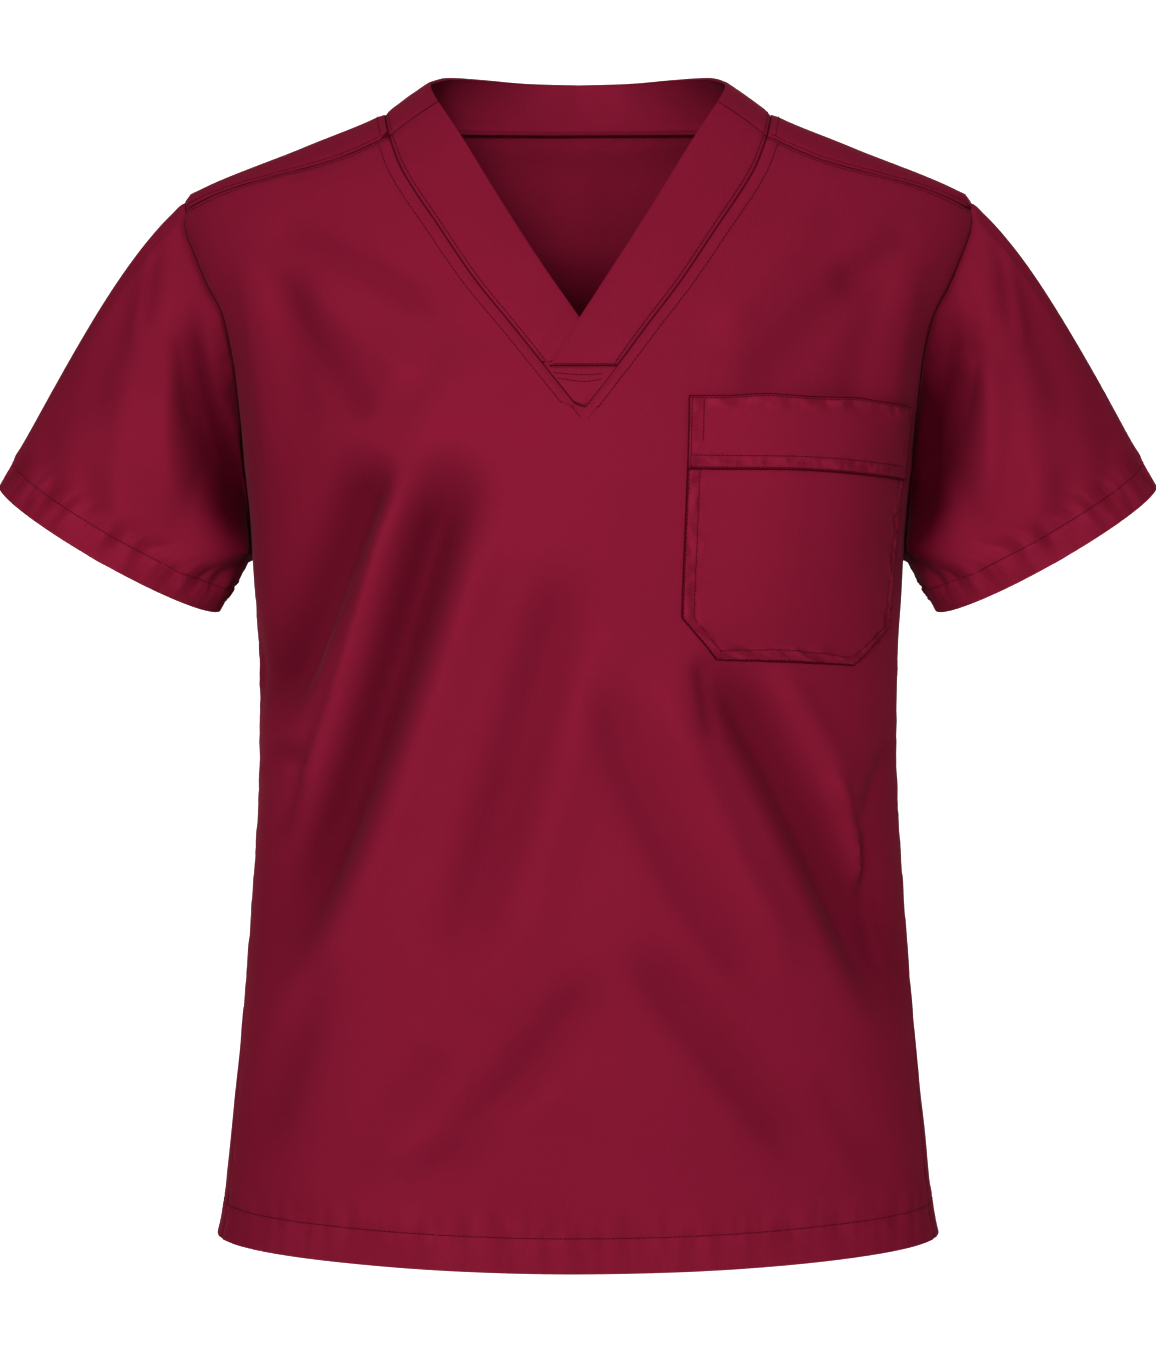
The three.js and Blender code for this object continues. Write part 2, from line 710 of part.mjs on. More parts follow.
function lineShares(points) {
  const lengths = [0];
  for (let k = 1; k < points.length; k += 1) {
    lengths.push(lengths[k - 1] + points[k].distanceTo(points[k - 1]));
  }
  return lengths.map((length) => length / lengths[points.length - 1]);
}

// A band between its seam edge and its free edge, bowed outward a little
function bandSheet(seamEdge, freeEdge, mirrored, press) {
  const sheet = newSheet();
  const at = (i, j) => {
    const share = j / bandColumns;
    const point = seamEdge[i].clone().lerp(freeEdge[i], share);
    const away = new THREE.Vector3(seamEdge[i].x, seamEdge[i].y, 0).normalize();
    point.addScaledVector(away, bandBow * Math.sin(Math.PI * share));
    if (press) point.y += lapPress(point);
    return point;
  };
  addBlock(sheet, seamEdge.length - 1, bandColumns, at, mirrored);
  return sheet;
}

// A place on the front by width and height
function onFront(x, z) {
  const side = x < 0 ? -1 : 1;
  return bodyPoint(side, wayOf(Math.abs(x), z, false), z);
}

// How far the lower of the two bands is pressed in where the other one lies on it
function lapPress(point) {
  const spanX = lapLine.toX - lapLine.fromX;
  const spanZ = lapLine.toZ - lapLine.fromZ;
  const size = Math.hypot(spanX, spanZ);
  const across = ((point.x - lapLine.fromX) * -spanZ + (point.z - lapLine.fromZ) * spanX) / size;
  return lapDepth * smooth(-lapReach, -lapEdge, across);
}

// Free-edge points of the band on one side, one for each point of its seam edge
function freeEdgeOf(seamEdge, table, side) {
  const free = table.map((row) => {
    if (row.freeY !== undefined) return new THREE.Vector3(side * row.freeX, row.freeY, row.freeZ);
    return onFront(side * row.freeX, row.freeZ);
  });
  const seam = table.map((row) => {
    if (row.seamY !== undefined) return new THREE.Vector3(side * row.seamX, row.seamY, row.seamZ);
    return onFront(side * row.seamX, row.seamZ);
  });
  const places = lineShares(seam);
  const rows = free.map((p, i) => ({ share: places[i], x: p.x, y: p.y, z: p.z }));
  return lineShares(seamEdge).map((share) => {
    const place = onLine(rows, ["x", "y", "z"], share);
    return new THREE.Vector3(place.x, place.y, place.z);
  });
}

const backEdgeCount = backColumns - shoulderColumns + overShoulderRows;

function backBandSheet() {
  const seam = [1, -1].map((side) => neckEdge(side).slice(0, backEdgeCount + 1));
  const free = [1, -1].map((side, k) => freeEdgeOf(seam[k], backBand, side));
  const seamEdge = [...seam[0].reverse(), ...seam[1].slice(1)];
  const freeEdge = [...free[0].reverse(), ...free[1].slice(1)];
  return bandSheet(seamEdge, freeEdge, false, false);
}

function frontBandSheet(table, side, press) {
  const all = neckEdge(side);
  const seamEdge = all.slice(backEdgeCount, all.length - rowsBesideInset);
  const rows = [backBand[backBand.length - 1], ...table];
  return bandSheet(seamEdge, freeEdgeOf(seamEdge, rows, side), side > 0, press);
}

// The small three-cornered piece below the bands, between the panel's two edges
function insetSheet() {
  const sheet = newSheet();
  const at = (i, j) => {
    const left = frontUpperPoint(-1, 0, rowsBelowV + j);
    const right = frontUpperPoint(1, 0, rowsBelowV + j);
    const share = i / insetColumns;
    if (i === 0) return left;
    if (i === insetColumns) return right;
    return onFront(mix(left.x, right.x, share) - vPoint.x, mix(left.z, right.z, share));
  };
  addBlock(sheet, insetColumns, rowsBesideInset, at, false);
  return sheet;
}

// Share of the pocket's height above its cut corners
const pocketTurn = (pocket.topLeft.z - pocket.lowLeft.z) / (pocket.topLeft.z - pocket.bottomLeft.z);

// The pocket's left or right edge at a share of its height
function pocketEdge(top, low, bottom, share) {
  const [from, to, t] =
    share <= pocketTurn
      ? [top, low, share / pocketTurn]
      : [low, bottom, (share - pocketTurn) / (1 - pocketTurn)];
  return { x: mix(from.x, to.x, t), z: mix(from.z, to.z, t) };
}

function pocketPoint(across, down, lift) {
  const left = pocketEdge(pocket.topLeft, pocket.lowLeft, pocket.bottomLeft, down);
  const right = pocketEdge(pocket.topRight, pocket.lowRight, pocket.bottomRight, down);
  const z = mix(left.z, right.z, across);
  const way = mix(wayOf(left.x, z, false), wayOf(right.x, z, false), across);
  const part = quarter(z, false);
  const point = bodyPoint(1, way, z);
  const share = Math.min(1, point.x / part.half);
  const towardX = share ** (part.square - 1) / part.half;
  const deep = (1 - share ** part.square) ** (1 / part.square);
  const towardY = deep ** (part.square - 1) / part.deep;
  const out = new THREE.Vector3(towardX, -towardY, 0).normalize();
  const fill = smooth(0, pocket.sideReach, Math.min(across, 1 - across));
  const mouth = mix(pocket.mouthShare, 1, smooth(0, pocket.mouthReach, down));
  const tall = mouth * smooth(1, pocket.footReach, down);
  return point.addScaledVector(out, pocket.off + pocket.swell * fill * tall + lift);
}

function pocketSheet() {
  const sheet = newSheet();
  const rows = pocketRows + chamferRows;
  const at = (i, j) => {
    const row = rows - j;
    const cut = Math.max(0, row - pocketRows) / chamferRows;
    const down = mix((pocketTurn * Math.min(row, pocketRows)) / pocketRows, 1, cut);
    return pocketPoint(i / pocketColumns, down, clothWall);
  };
  addBlock(sheet, pocketColumns, rows, at, false);
  return sheet;
}

function pocketBandSheet() {
  const sheet = newSheet();
  const low = pocket.bandDepth / (pocket.topLeft.z - pocket.bottomLeft.z);
  const lift = clothWall + clothWall + 2 * seamInset;
  const at = (i, j) => pocketPoint(i / pocketColumns, low * (1 - j / pocketBandRows), lift);
  addBlock(sheet, pocketColumns, pocketBandRows, at, false);
  return sheet;
}

// Outward direction of the cloth at every point
function outward(sheet, points) {
  const normals = points.map(() => new THREE.Vector3());
  const first = new THREE.Vector3();
  const second = new THREE.Vector3();
  for (const quad of sheet.quads) {
    const [a, b, c, d] = quad.map((k) => points[k]);
    first.subVectors(c, a);
    second.subVectors(d, b);
    const face = new THREE.Vector3().crossVectors(first, second);
    for (const k of quad) normals[k].add(face);
  }
  for (const normal of normals) normal.normalize();
  return normals;
}

// Edges that only one quad has, each as a pair of points in the quad's own order
function openEdges(sheet) {
  const seen = new Set();
  for (const quad of sheet.quads) {
    for (let k = 0; k < 4; k += 1) {
      const next = quad[(k + 1) % 4];
      if (quad[k] !== next) seen.add(`${quad[k]},${next}`);
    }
  }
  const edges = [];
  for (const name of seen) {
    const [a, b] = name.split(",").map(Number);
    if (!seen.has(`${b},${a}`)) edges.push([a, b]);
  }
  return edges;
}

function nameOf(point) {
  return `${point.x.toFixed(2)},${point.y.toFixed(2)},${point.z.toFixed(2)}`;
}

// Directions that sheets lying in one run of cloth share along their common seams
function sharedDirections(sheets) {
  const shared = new Map();
  for (const sheet of sheets) {
    const normals = outward(sheet, sheet.points);
    sheet.points.forEach((point, k) => {
      const name = nameOf(point);
      const sum = shared.get(name) ?? new THREE.Vector3();
      shared.set(name, sum.add(normals[k]));
    });
  }
  for (const sum of shared.values()) sum.normalize();
  return shared;
}

// Draws the open edges back from the seams by the inset at each point
function drawnIn(sheet, edges, normals, insetAt) {
  const pulls = sheet.points.map(() => []);
  const lean = new THREE.Vector3();
  for (const [a, b] of edges) {
    lean.subVectors(sheet.points[b], sheet.points[a]).normalize();
    for (const k of [a, b]) {
      pulls[k].push(new THREE.Vector3().crossVectors(normals[k], lean).normalize());
    }
  }
  return sheet.points.map((point, k) => {
    if (pulls[k].length < 2) return point.clone();
    const sum = new THREE.Vector3().addVectors(pulls[k][0], pulls[k][1]);
    const spread = Math.max(leastSpread, 1 + pulls[k][0].dot(pulls[k][1]));
    return point.clone().addScaledVector(sum, insetAt(point) / spread);
  });
}

// Gives a sheet its wall on the inner side and closes it along its open edges
function shell(name, sheet, shared, colour, wallAt, insetAt) {
  const edges = openEdges(sheet);
  const normals = sheet.points.map((point) => shared.get(nameOf(point)));
  const outer = drawnIn(sheet, edges, normals, insetAt);
  const inner = outer.map((p, k) => p.clone().addScaledVector(normals[k], -wallAt(sheet.points[k])));
  const count = outer.length;
  const faces = [];
  const addFace = (a, b, c) => {
    if (a !== b && b !== c && c !== a) faces.push(a, b, c);
  };
  for (const [a, b, c, d] of sheet.quads) {
    addFace(a, b, c);
    addFace(a, c, d);
    addFace(count + c, count + b, count + a);
    addFace(count + d, count + c, count + a);
  }
  for (const [a, b] of edges) faces.push(b, a, count + a, b, count + a, count + b);
  const places = [...outer, ...inner].flatMap((p) => [p.x, p.y, p.z]);
  const geometry = new THREE.BufferGeometry();
  geometry.setAttribute("position", new THREE.Float32BufferAttribute(places, 3));
  geometry.setIndex(faces);
  geometry.computeVertexNormals();
  const material = new THREE.MeshStandardMaterial({ color: colour, roughness: clothRoughness });
  material.name = "wine_red_cloth";
  const mesh = new THREE.Mesh(geometry, material);
  mesh.name = name;
  return mesh;
}

const clothColour = 0x7d1733;
const bandColour = 0x7f1834;
const pocketColour = 0x80192f;
const clothRoughness = 0.75;

function bodyWall(point) {
  const way = point.y > 0 ? 1.5 : wayOf(point.x, Math.max(point.z, hemZ(0)), false);
  const top = hemZ(Math.min(2, way)) + hemDepth + hemStep / 2;
  return point.z < top ? clothWall + hemTurn : clothWall;
}

// Where the cloth bends outward over the shoulder tip, the edges stand further back
function armholeInset(point) {
  const high = smooth(tipFold.lowZ, tipFold.highZ, point.z);
  const wide = smooth(tipFold.innerX, tipFold.outerX, Math.abs(point.x));
  return mix(seamInset, foldedSeamInset, high * wide);
}

function sleeveWall(point) {
  const x = Math.abs(point.x) - cuffCentre.x;
  const down = x * cuffDown.x + (point.z - cuffCentre.z) * cuffDown.z;
  const drop = (-point.y / cuffHalfDepth) * (point.y < 0 ? cuffFrontDrop : cuffBackRise);
  return down > drop - cuffHem - hemStep ? clothWall + hemTurn : clothWall;
}

function plainInset() {
  return seamInset;
}

function plainWall() {
  return clothWall;
}

function thickWall() {
  return bandWall;
}

const front = frontSheet();
const back = backSheet();
const sleeves = [sleeveSheet(1), sleeveSheet(-1)];
const bands = [
  backBandSheet(),
  frontBandSheet(overBand, 1, false),
  frontBandSheet(underBand, -1, true),
  insetSheet(),
];
const patches = [pocketSheet(), pocketBandSheet()];
const bodyShared = sharedDirections([front, back]);
const bandShared = sharedDirections(bands);

const group = new THREE.Group();
group.name = "scrub_top";
group.add(shell("front_panel", front, bodyShared, clothColour, bodyWall, armholeInset));
group.add(shell("back_panel", back, bodyShared, clothColour, bodyWall, armholeInset));
["sleeve_left", "sleeve_right"].forEach((name, k) => {
  const own = sharedDirections([sleeves[k]]);
  group.add(shell(name, sleeves[k], own, clothColour, sleeveWall, armholeInset));
});
["neckband_back", "neckband_left", "neckband_right", "v_inset"].forEach((name, k) => {
  group.add(shell(name, bands[k], bandShared, bandColour, thickWall, plainInset));
});
["pocket", "pocket_band"].forEach((name, k) => {
  const own = sharedDirections([patches[k]]);
  group.add(shell(name, patches[k], own, pocketColour, plainWall, plainInset));
});

export default group;
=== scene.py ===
import math

import bpy
import numpy as np
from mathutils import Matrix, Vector


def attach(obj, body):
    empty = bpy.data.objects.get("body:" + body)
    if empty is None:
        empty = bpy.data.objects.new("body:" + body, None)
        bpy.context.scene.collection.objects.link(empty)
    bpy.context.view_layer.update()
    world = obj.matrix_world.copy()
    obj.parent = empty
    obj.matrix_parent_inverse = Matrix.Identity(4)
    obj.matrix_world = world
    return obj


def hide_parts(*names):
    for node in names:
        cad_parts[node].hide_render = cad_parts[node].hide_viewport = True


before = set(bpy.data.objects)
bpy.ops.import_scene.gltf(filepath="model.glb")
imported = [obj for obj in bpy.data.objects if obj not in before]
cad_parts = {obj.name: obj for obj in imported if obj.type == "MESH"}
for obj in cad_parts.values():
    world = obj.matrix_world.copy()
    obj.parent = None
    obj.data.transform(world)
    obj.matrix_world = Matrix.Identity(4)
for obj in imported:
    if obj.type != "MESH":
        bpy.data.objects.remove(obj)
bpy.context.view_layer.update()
root = "root"

# The garment's form, in millimetres, as in the part's own source

# Level sections of the body, from above the neck down to the hem
sections = {
    "z": [40, 0, -22, -50, -63, -75, -91, -110, -126, -152, -185, -228, -252, -280,
          -340, -410, -480, -550, -630, -673, -700],
    "half": [60, 118.7, 171.5, 239, 245.5, 246, 240.5, 232, 224, 215.5, 209, 204.5, 202, 200.5,
             197, 196.5, 200.5, 206, 214, 219, 225],
    "front": [58, 66, 71, 78, 82, 86, 91, 96, 100, 106, 113, 118, 118.5, 119,
              118, 117, 116, 115, 113, 112, 112],
    "back": [79, 80, 86, 93, 97, 100, 104, 107, 109, 111, 112, 112, 111, 109,
             105, 103, 104, 106, 108, 109, 110],
    "square": [2, 2, 2, 2.1, 2.15, 2.2, 2.3, 2.35, 2.4, 2.4, 2.5, 2.5, 2.5, 2.5,
               2.5, 2.5, 2.6, 2.6, 2.6, 2.6, 2.6],
}
frontArmhole = [(204.5, -228), (206, -205), (208, -180), (211.5, -150), (217.5, -126),
                (226.5, -110), (235, -91), (241.5, -74), (242, -62)]
backArmhole = [(204.5, -228), (205.5, -205), (206.5, -180), (211.5, -150), (221, -120),
               (232, -95), (239.5, -78), (242, -67)]
shoulderSeam = [(114.2, -22), (138.8, -33.4), (160, -40), (187, -46), (217, -53.5), (242, -62)]
neckSeam = [(0, -194), (20.7, -167), (40, -141.5), (60.7, -114.5), (83, -80.6), (104.8, -46),
            (114.2, -22)]
behindShoulder = [(242, 14), (225, 26), (195, 36), (160, 40), (107.6, 34)]
neckOverShoulder = [(107.6, 34), (118.7, 0), (118.5, -20), (117, -38), (114.2, -53.4)]
underarmZ = -228
sideHemZ = -689
centreHemDrop = 8.5
neckRingRise = 2
vPoint = (2, -194)
sideSeamHem = 0.86
hemDepth = 21


def smooth(low, high, value):
    t = np.clip((np.asarray(value, float) - low) / (high - low), 0, 1)
    return t * t * (3 - 2 * t)


def mix(a, b, t):
    return a + (b - a) * t


# A smooth curve through a table's rows
def curve(places, values, at):
    xs, ys = np.asarray(places, float), np.asarray(values, float)
    if xs[0] > xs[-1]:
        xs, ys = xs[::-1], ys[::-1]
    at = np.clip(at, xs[0], xs[-1])
    k = np.clip(np.searchsorted(xs, at, side="right") - 1, 0, len(xs) - 2)
    slope = np.empty_like(ys)
    slope[1:-1] = (ys[2:] - ys[:-2]) / (xs[2:] - xs[:-2])
    slope[0] = (ys[1] - ys[0]) / (xs[1] - xs[0])
    slope[-1] = (ys[-1] - ys[-2]) / (xs[-1] - xs[-2])
    step = xs[k + 1] - xs[k]
    t = (at - xs[k]) / step
    start = (2 * t**3 - 3 * t**2 + 1) * ys[k] + (t**3 - 2 * t**2 + t) * step * slope[k]
    return start + (3 * t**2 - 2 * t**3) * ys[k + 1] + (t**3 - t**2) * step * slope[k + 1]


# Rows of vectors, each made 1 long
def unit(vectors):
    return vectors / np.maximum(np.linalg.norm(vectors, axis=-1, keepdims=True), 1e-9)


def section(name, z):
    return curve(sections["z"], sections[name], z)


# Places at shares of a line's length, one array per column
def onLine(line, share):
    line = np.asarray(line, float)
    lengths = np.r_[0, np.cumsum(np.linalg.norm(np.diff(line, axis=0), axis=1))]
    return [curve(lengths / lengths[-1], column, share) for column in line.T]


levelStep = 2.0
levels = np.arange(-706, 44, levelStep)
angles = np.linspace(0, math.pi / 2, 129)
shares = np.linspace(0, 1, 129)


def roundTables(side):
    half, deep = section("half", levels)[:, None], section(side, levels)[:, None]
    power = 2 / section("square", levels)[:, None]
    x = half * np.sin(angles) ** power
    y = deep * np.maximum(np.cos(angles), 0) ** power
    steps = np.hypot(np.diff(x, axis=1), np.diff(y, axis=1))
    run = np.concatenate([np.zeros((len(levels), 1)), np.cumsum(steps, axis=1)], axis=1)
    share = run / run[:, -1:]
    angle = np.array([np.interp(shares, row, angles) for row in share])
    return {"share": share, "angle": angle, "length": run[:, -1]}


rounds = {"front": roundTables("front"), "back": roundTables("back")}


def lookUp(table, z, at, top):
    row = np.clip((z - levels[0]) / levelStep, 0, len(levels) - 1.001)
    col = np.clip(at / top * (table.shape[1] - 1), 0, table.shape[1] - 1.001)
    i, j = row.astype(int), col.astype(int)
    a, b = row - i, col - j
    low = table[i, j] * (1 - b) + table[i, j + 1] * b
    high = table[i + 1, j] * (1 - b) + table[i + 1, j + 1] * b
    return low * (1 - a) + high * a


# Way round the body: 0 front centre, 1 the widest line, 2 back centre
def wayOf(x, z, back):
    z = np.asarray(z, float) + 0 * x
    ratio = np.clip(np.abs(x) / section("half", z), 0, 1)
    angle = np.arcsin(ratio ** (section("square", z) / 2))
    share = lookUp(rounds["back" if back else "front"]["share"], z, angle, math.pi / 2)
    return 2 - share if back else share


def reach(x, z, side):
    ratio = np.clip(np.abs(x) / section("half", z), 0, 1)
    power = section("square", z)
    return section(side, z) * (1 - ratio**power) ** (1 / power)


def sideSeamWay(z):
    return mix(1, sideSeamHem, smooth(underarmZ, sideHemZ, z))


# Folds: soft troughs (below 0) and ridges, each on a curve through three points

# from x, from z, middle x, middle z, to x, to z, height, width on its left, width on its right
frontFolds = [
    (-113, -212, -146, -289, -187, -384, -14.5, 24, 12),
    (-107, -216, -136, -333, -182, -458, 4.5, 4.5, 15),
    (-70, -205, -113, -350, -188, -545, -16.0, 19, 20),
    (-58, -240, -95, -380, -190, -592, 6.0, 13, 18),
    (-2, -276, -34, -385, -82, -546, -5.5, 16, 22),
    (18, -300, -11, -420, -46, -540, 2.6, 16, 16),
    (10, -330, 48, -440, 128, -556, -4.2, 13, 16),
    (44, -336, 84, -437, 132, -532, 5.0, 14, 13),
    (70, -328, 130, -430, 198, -572, -12.5, 13, 19),
    (71, -334, 74, -362, 80, -388, -3.4, 4, 6),
    (112, -340, 148, -392, 168, -436, 3.2, 12, 9),
    (28, -500, 80, -566, 146, -648, -5.0, 13, 18),
    (141, -580, 159, -613, 188, -656, -1.4, 9, 10),
    (13, -515, -34, -581, -112, -664, -4.4, 13, 18),
    (-6, -582, -57, -613, -163, -635, 1.6, 12, 12),
    (-80, -560, -104, -601, -152, -655, -2.2, 12, 14),
    (-144, -502, -171, -572, -192, -636, -4.0, 12, 14),
    (148, -400, 163, -438, 171, -480, 4.6, 8, 3),
    (172, -430, 176, -476, 190, -532, -3.0, 4, 8),
    (190, -384, 179, -408, 168, -438, -2.6, 5, 5),
    (192, -524, 184, -502, 175, -478, 2.0, 4, 4),
    (-188, -391, -173, -394, -158, -400, -3.2, 5, 6),
    (-166, -402, -173, -424, -186, -448, -2.8, 5, 7),
    (-196, -412, -182, -404, -166, -410, 2.0, 5, 5),
    (-182, -104, -154, -158, -118, -196, -4.0, 9, 11),
    (-168, -100, -130, -144, -90, -176, 4.0, 12, 12),
    (-190, -76, -138, -100, -74, -142, -3.2, 9, 9),
    (180, -95, 138, -140, 90, -186, -3.8, 16, 12),
    (154, -62, 109, -111, 78, -150, 2.8, 12, 12),
    (206, -76, 178, -100, 152, -122, -2.2, 10, 8),
    (-206, -84, -192, -158, -184, -236, 2.2, 8, 12),
    (-190, -90, -170, -150, -160, -210, -1.6, 8, 12),
    (206, -84, 192, -158, 186, -212, 2.2, 12, 8),
    (190, -90, 170, -150, 160, -200, -1.6, 12, 8),
    (-60, -150, -84, -190, -96, -232, 1.8, 14, 14),
]
backFolds = [
    (-150, -212, -120, -330, -96, -470, -10.0, 14, 18),
    (-122, -232, -90, -350, -72, -520, 5.5, 16, 15),
    (146, -216, 112, -345, 84, -500, -11.0, 19, 14),
    (114, -238, 82, -360, 52, -540, 5.5, 15, 17),
    (-10, -326, 4, -470, 20, -628, -7.0, 17, 20),
    (34, -360, 44, -490, 60, -636, 4.0, 16, 15),
    (-150, -436, -136, -540, -146, -654, -7.0, 14, 17),
    (-118, -450, -104, -560, -112, -660, 3.6, 14, 14),
    (148, -416, 140, -530, 152, -658, -7.0, 16, 14),
    (118, -470, 110, -570, 118, -664, 3.4, 14, 14),
    (-70, -520, -52, -600, -60, -672, -3.0, 12, 12),
    (-190, -372, -160, -392, -130, -398, -3.0, 7, 8),
    (188, -380, 160, -404, 132, -412, -3.2, 8, 7),
    (-160, -60, -120, -110, -92, -170, -3.0, 10, 13),
    (160, -60, 122, -108, 92, -166, -3.0, 13, 10),
    (-50, -30, -58, -110, -70, -190, 1.8, 16, 16),
    (44, -34, 54, -110, 62, -190, 1.8, 16, 16),
    (0, -10, 2, -120, -2, -240, -1.6, 14, 14),
    (-206, -100, -200, -160, -188, -230, -3.0, 9, 9),
    (206, -100, 200, -160, 188, -230, -3.0, 9, 9),
]
# The sleeves' folds, seen from the front on the wearer's left; the back takes them too
sleeveFolds = [
    (253, -82, 278, -139, 297, -202, -4.6, 10, 14),
    (300, -120, 312, -160, 320, -214, -2.0, 12, 12),
    (236, -96, 247, -181, 243, -258, 4.6, 9, 11),
    (270, -150, 276, -210, 280, -280, 3.0, 12, 14),
    (240, -104, 227, -196, 205, -280, -15.0, 13, 14),
    (243, -136, 241, -166, 236, -202, -2.4, 3, 3),
    (249, -66, 248, -98, 250, -142, 2.6, 3, 3),
    (259, -74, 266, -110, 271, -152, 2.6, 3, 4),
    (254, -70, 258, -104, 262, -140, -2.4, 4, 4),
    (322, -190, 322, -215, 318, -240, -2.0, 9, 9),
    (298, -214, 290, -250, 286, -282, -2.4, 8, 9),
]


# Folds that only one sleeve has, the wearer's left (1) and right (-1)
sleeveOwn = {
    1: [
        (216, -92, 210, -170, 200, -262, -9.0, 12, 12),
        (240, -78, 236, -128, 240, -176, 3.0, 5, 6),
    ],
    -1: [
        (232, -84, 225, -125, 210, -176, 4.5, 6, 6),
        (222, -92, 216, -128, 207, -160, -3.0, 4, 4),
        (214, -176, 210, -190, 200, -204, 2.5, 3, 4),
    ],
}


foldGain = 1.2
foldFade = 22  # folds die out this near a side seam
unevenHeight = 0.7


# Height of all the folds at places on the cloth, each side of a fold with its own width
def foldHeight(folds, x, z):
    height = np.zeros(np.shape(x))
    t = np.linspace(0, 1, 25)
    for ax, az, bx, bz, cx, cz, tall, leftWidth, rightWidth in folds:
        weights = ((1 - t) * (1 - 2 * t), 4 * t * (1 - t), t * (2 * t - 1))
        px = weights[0] * ax + weights[1] * bx + weights[2] * cx
        pz = weights[0] * az + weights[1] * bz + weights[2] * cz
        nearest = np.full(np.shape(x), 1e9)
        place, sign = np.zeros(np.shape(x)), np.ones(np.shape(x))
        reachable = 3 * max(leftWidth, rightWidth)
        for i in range(24):
            spanX, spanZ = px[i + 1] - px[i], pz[i + 1] - pz[i]
            along = ((x - px[i]) * spanX + (z - pz[i]) * spanZ) / (spanX**2 + spanZ**2)
            along = np.clip(along, 0, 1)
            offX, offZ = x - px[i] - along * spanX, z - pz[i] - along * spanZ
            gap = np.hypot(offX, offZ)
            closer = gap < nearest
            nearest = np.where(closer, gap, nearest)
            place = np.where(closer, (i + along) / 24, place)
            sign = np.where(closer, np.sign(offX), sign)
        width = np.where(sign < 0, leftWidth, rightWidth)
        ends = smooth(0, 0.24, place) * smooth(0, 0.24, 1 - place)
        near = nearest < reachable
        height += near * tall * ends * np.exp(-((nearest / width) ** 2))
    return height


# Painted shade for the troughs: how deep in a trough each point of a grid lies, 0 to about 1
def troughShadeOf(folds, grid):
    height = foldHeight(folds, grid[..., 0], grid[..., 2])
    return np.clip(-height / 13, 0, 1.1)


# Slow unevenness, made of a few waves that cross each other
def ripple(a, b, seed):
    rng = np.random.default_rng(seed)
    total = 0
    for _ in range(7):
        turn, length = rng.uniform(0, math.pi), rng.uniform(45, 130)
        phase = rng.uniform(0, 2 * math.pi)
        total = total + np.sin((a * math.cos(turn) + b * math.sin(turn)) * 2 * math.pi / length + phase)
    return total / 7


# Uneven small puckers along a sewn line
def pucker(along, seed, length=13.0):
    rng = np.random.default_rng(seed)
    total = 0
    for scale in (1.0, 0.62, 1.7, 2.9):
        phase = rng.uniform(0, 2 * math.pi)
        total = total + np.sin(along * 2 * math.pi / (length * scale) + phase) * scale**0.5
    return total / 4


# The body's cloth by way round and height, with its folds, as an array of points
def bodyPoints(side, way, z):
    way, z = np.broadcast_arrays(np.asarray(way, float), np.asarray(z, float))
    points = np.zeros(way.shape + (3,))
    seam = sideSeamWay(z)
    for back in (False, True):
        name = "back" if back else "front"
        share = np.clip(2 - way if back else way, 0, 1)
        angle = lookUp(rounds[name]["angle"], z, share, 1)
        half, deep, square = section("half", z), section(name, z), section("square", z)
        x = half * np.sin(angle) ** (2 / square)
        y = deep * np.maximum(np.cos(angle), 0) ** (2 / square)
        towardX = (x / half) ** (square - 1) / half
        towardY = (y / deep) ** (square - 1) / deep
        size = np.hypot(towardX, towardY)
        length = lookUp(rounds[name]["length"][:, None].repeat(2, 1), z, 0 * z, 1)
        gap = np.abs(way - seam) * length
        onBack = way > seam
        lift = np.where(onBack, foldHeight(backFolds, side * x, z), foldHeight(frontFolds, side * x, z))
        uneven = ripple(side * x + 900 * onBack, z, 5)
        lift = foldGain * lift * smooth(0, foldFade, gap) + unevenHeight * uneven * smooth(0, 30, gap)
        sign = 1 if back else -1
        here = np.stack(
            [side * (x + lift * towardX / size), sign * (y + lift * towardY / size), z], axis=-1
        )
        use = (way > 1) if back else (way <= 1)
        points[use] = here[use]
    shift = vPoint[0] * smooth(-90, vPoint[1], z) * smooth(-330, vPoint[1], z)
    points[..., 0] += np.where(way < 0.6, shift * smooth(0.6, 0.1, way), 0)
    return points


def shoulderZ(x, y):
    low, high = np.full(np.shape(x), -74.0), np.full(np.shape(x), 12.0)
    for _ in range(40):
        z = (low + high) / 2
        deep = np.where(y > 0, section("back", z), section("front", z))
        power = section("square", z)
        size = (np.abs(x) / section("half", z)) ** power + (np.abs(y) / deep) ** power
        high = np.where(size > 1, z, high)
        low = np.where(size > 1, low, z)
    return (low + high) / 2


# A patch between four edges; each edge gives two arrays for an array of shares
def patch(bottom, top, start, end, s, t):
    out = []
    lows, highs, starts, ends = bottom(s), top(s), start(t), end(t)
    corners = [edge(np.array([0.0, 1.0])) for edge in (bottom, top)]
    for k in (0, 1):
        across = mix(starts[k][:, None], ends[k][:, None], s[None, :])
        upward = mix(lows[k][None, :], highs[k][None, :], t[:, None])
        low = mix(corners[0][k][0], corners[0][k][1], s)[None, :]
        high = mix(corners[1][k][0], corners[1][k][1], s)[None, :]
        out.append(across + upward - mix(low, high, t[:, None]))
    return out


# Shares from 0 to 1, closer together near the ends asked for (0, 1)
def spaced(steps, length, fine, ends):
    t = np.linspace(0, 1, steps + 1)
    weight = np.full(steps, length / steps)
    middle = (t[1:] + t[:-1]) / 2
    for end in ends:
        gap = np.abs(middle - end)
        weight = weight * mix(fine, 1, smooth(0, 0.14, gap))
    return np.r_[0, np.cumsum(weight) / weight.sum()]


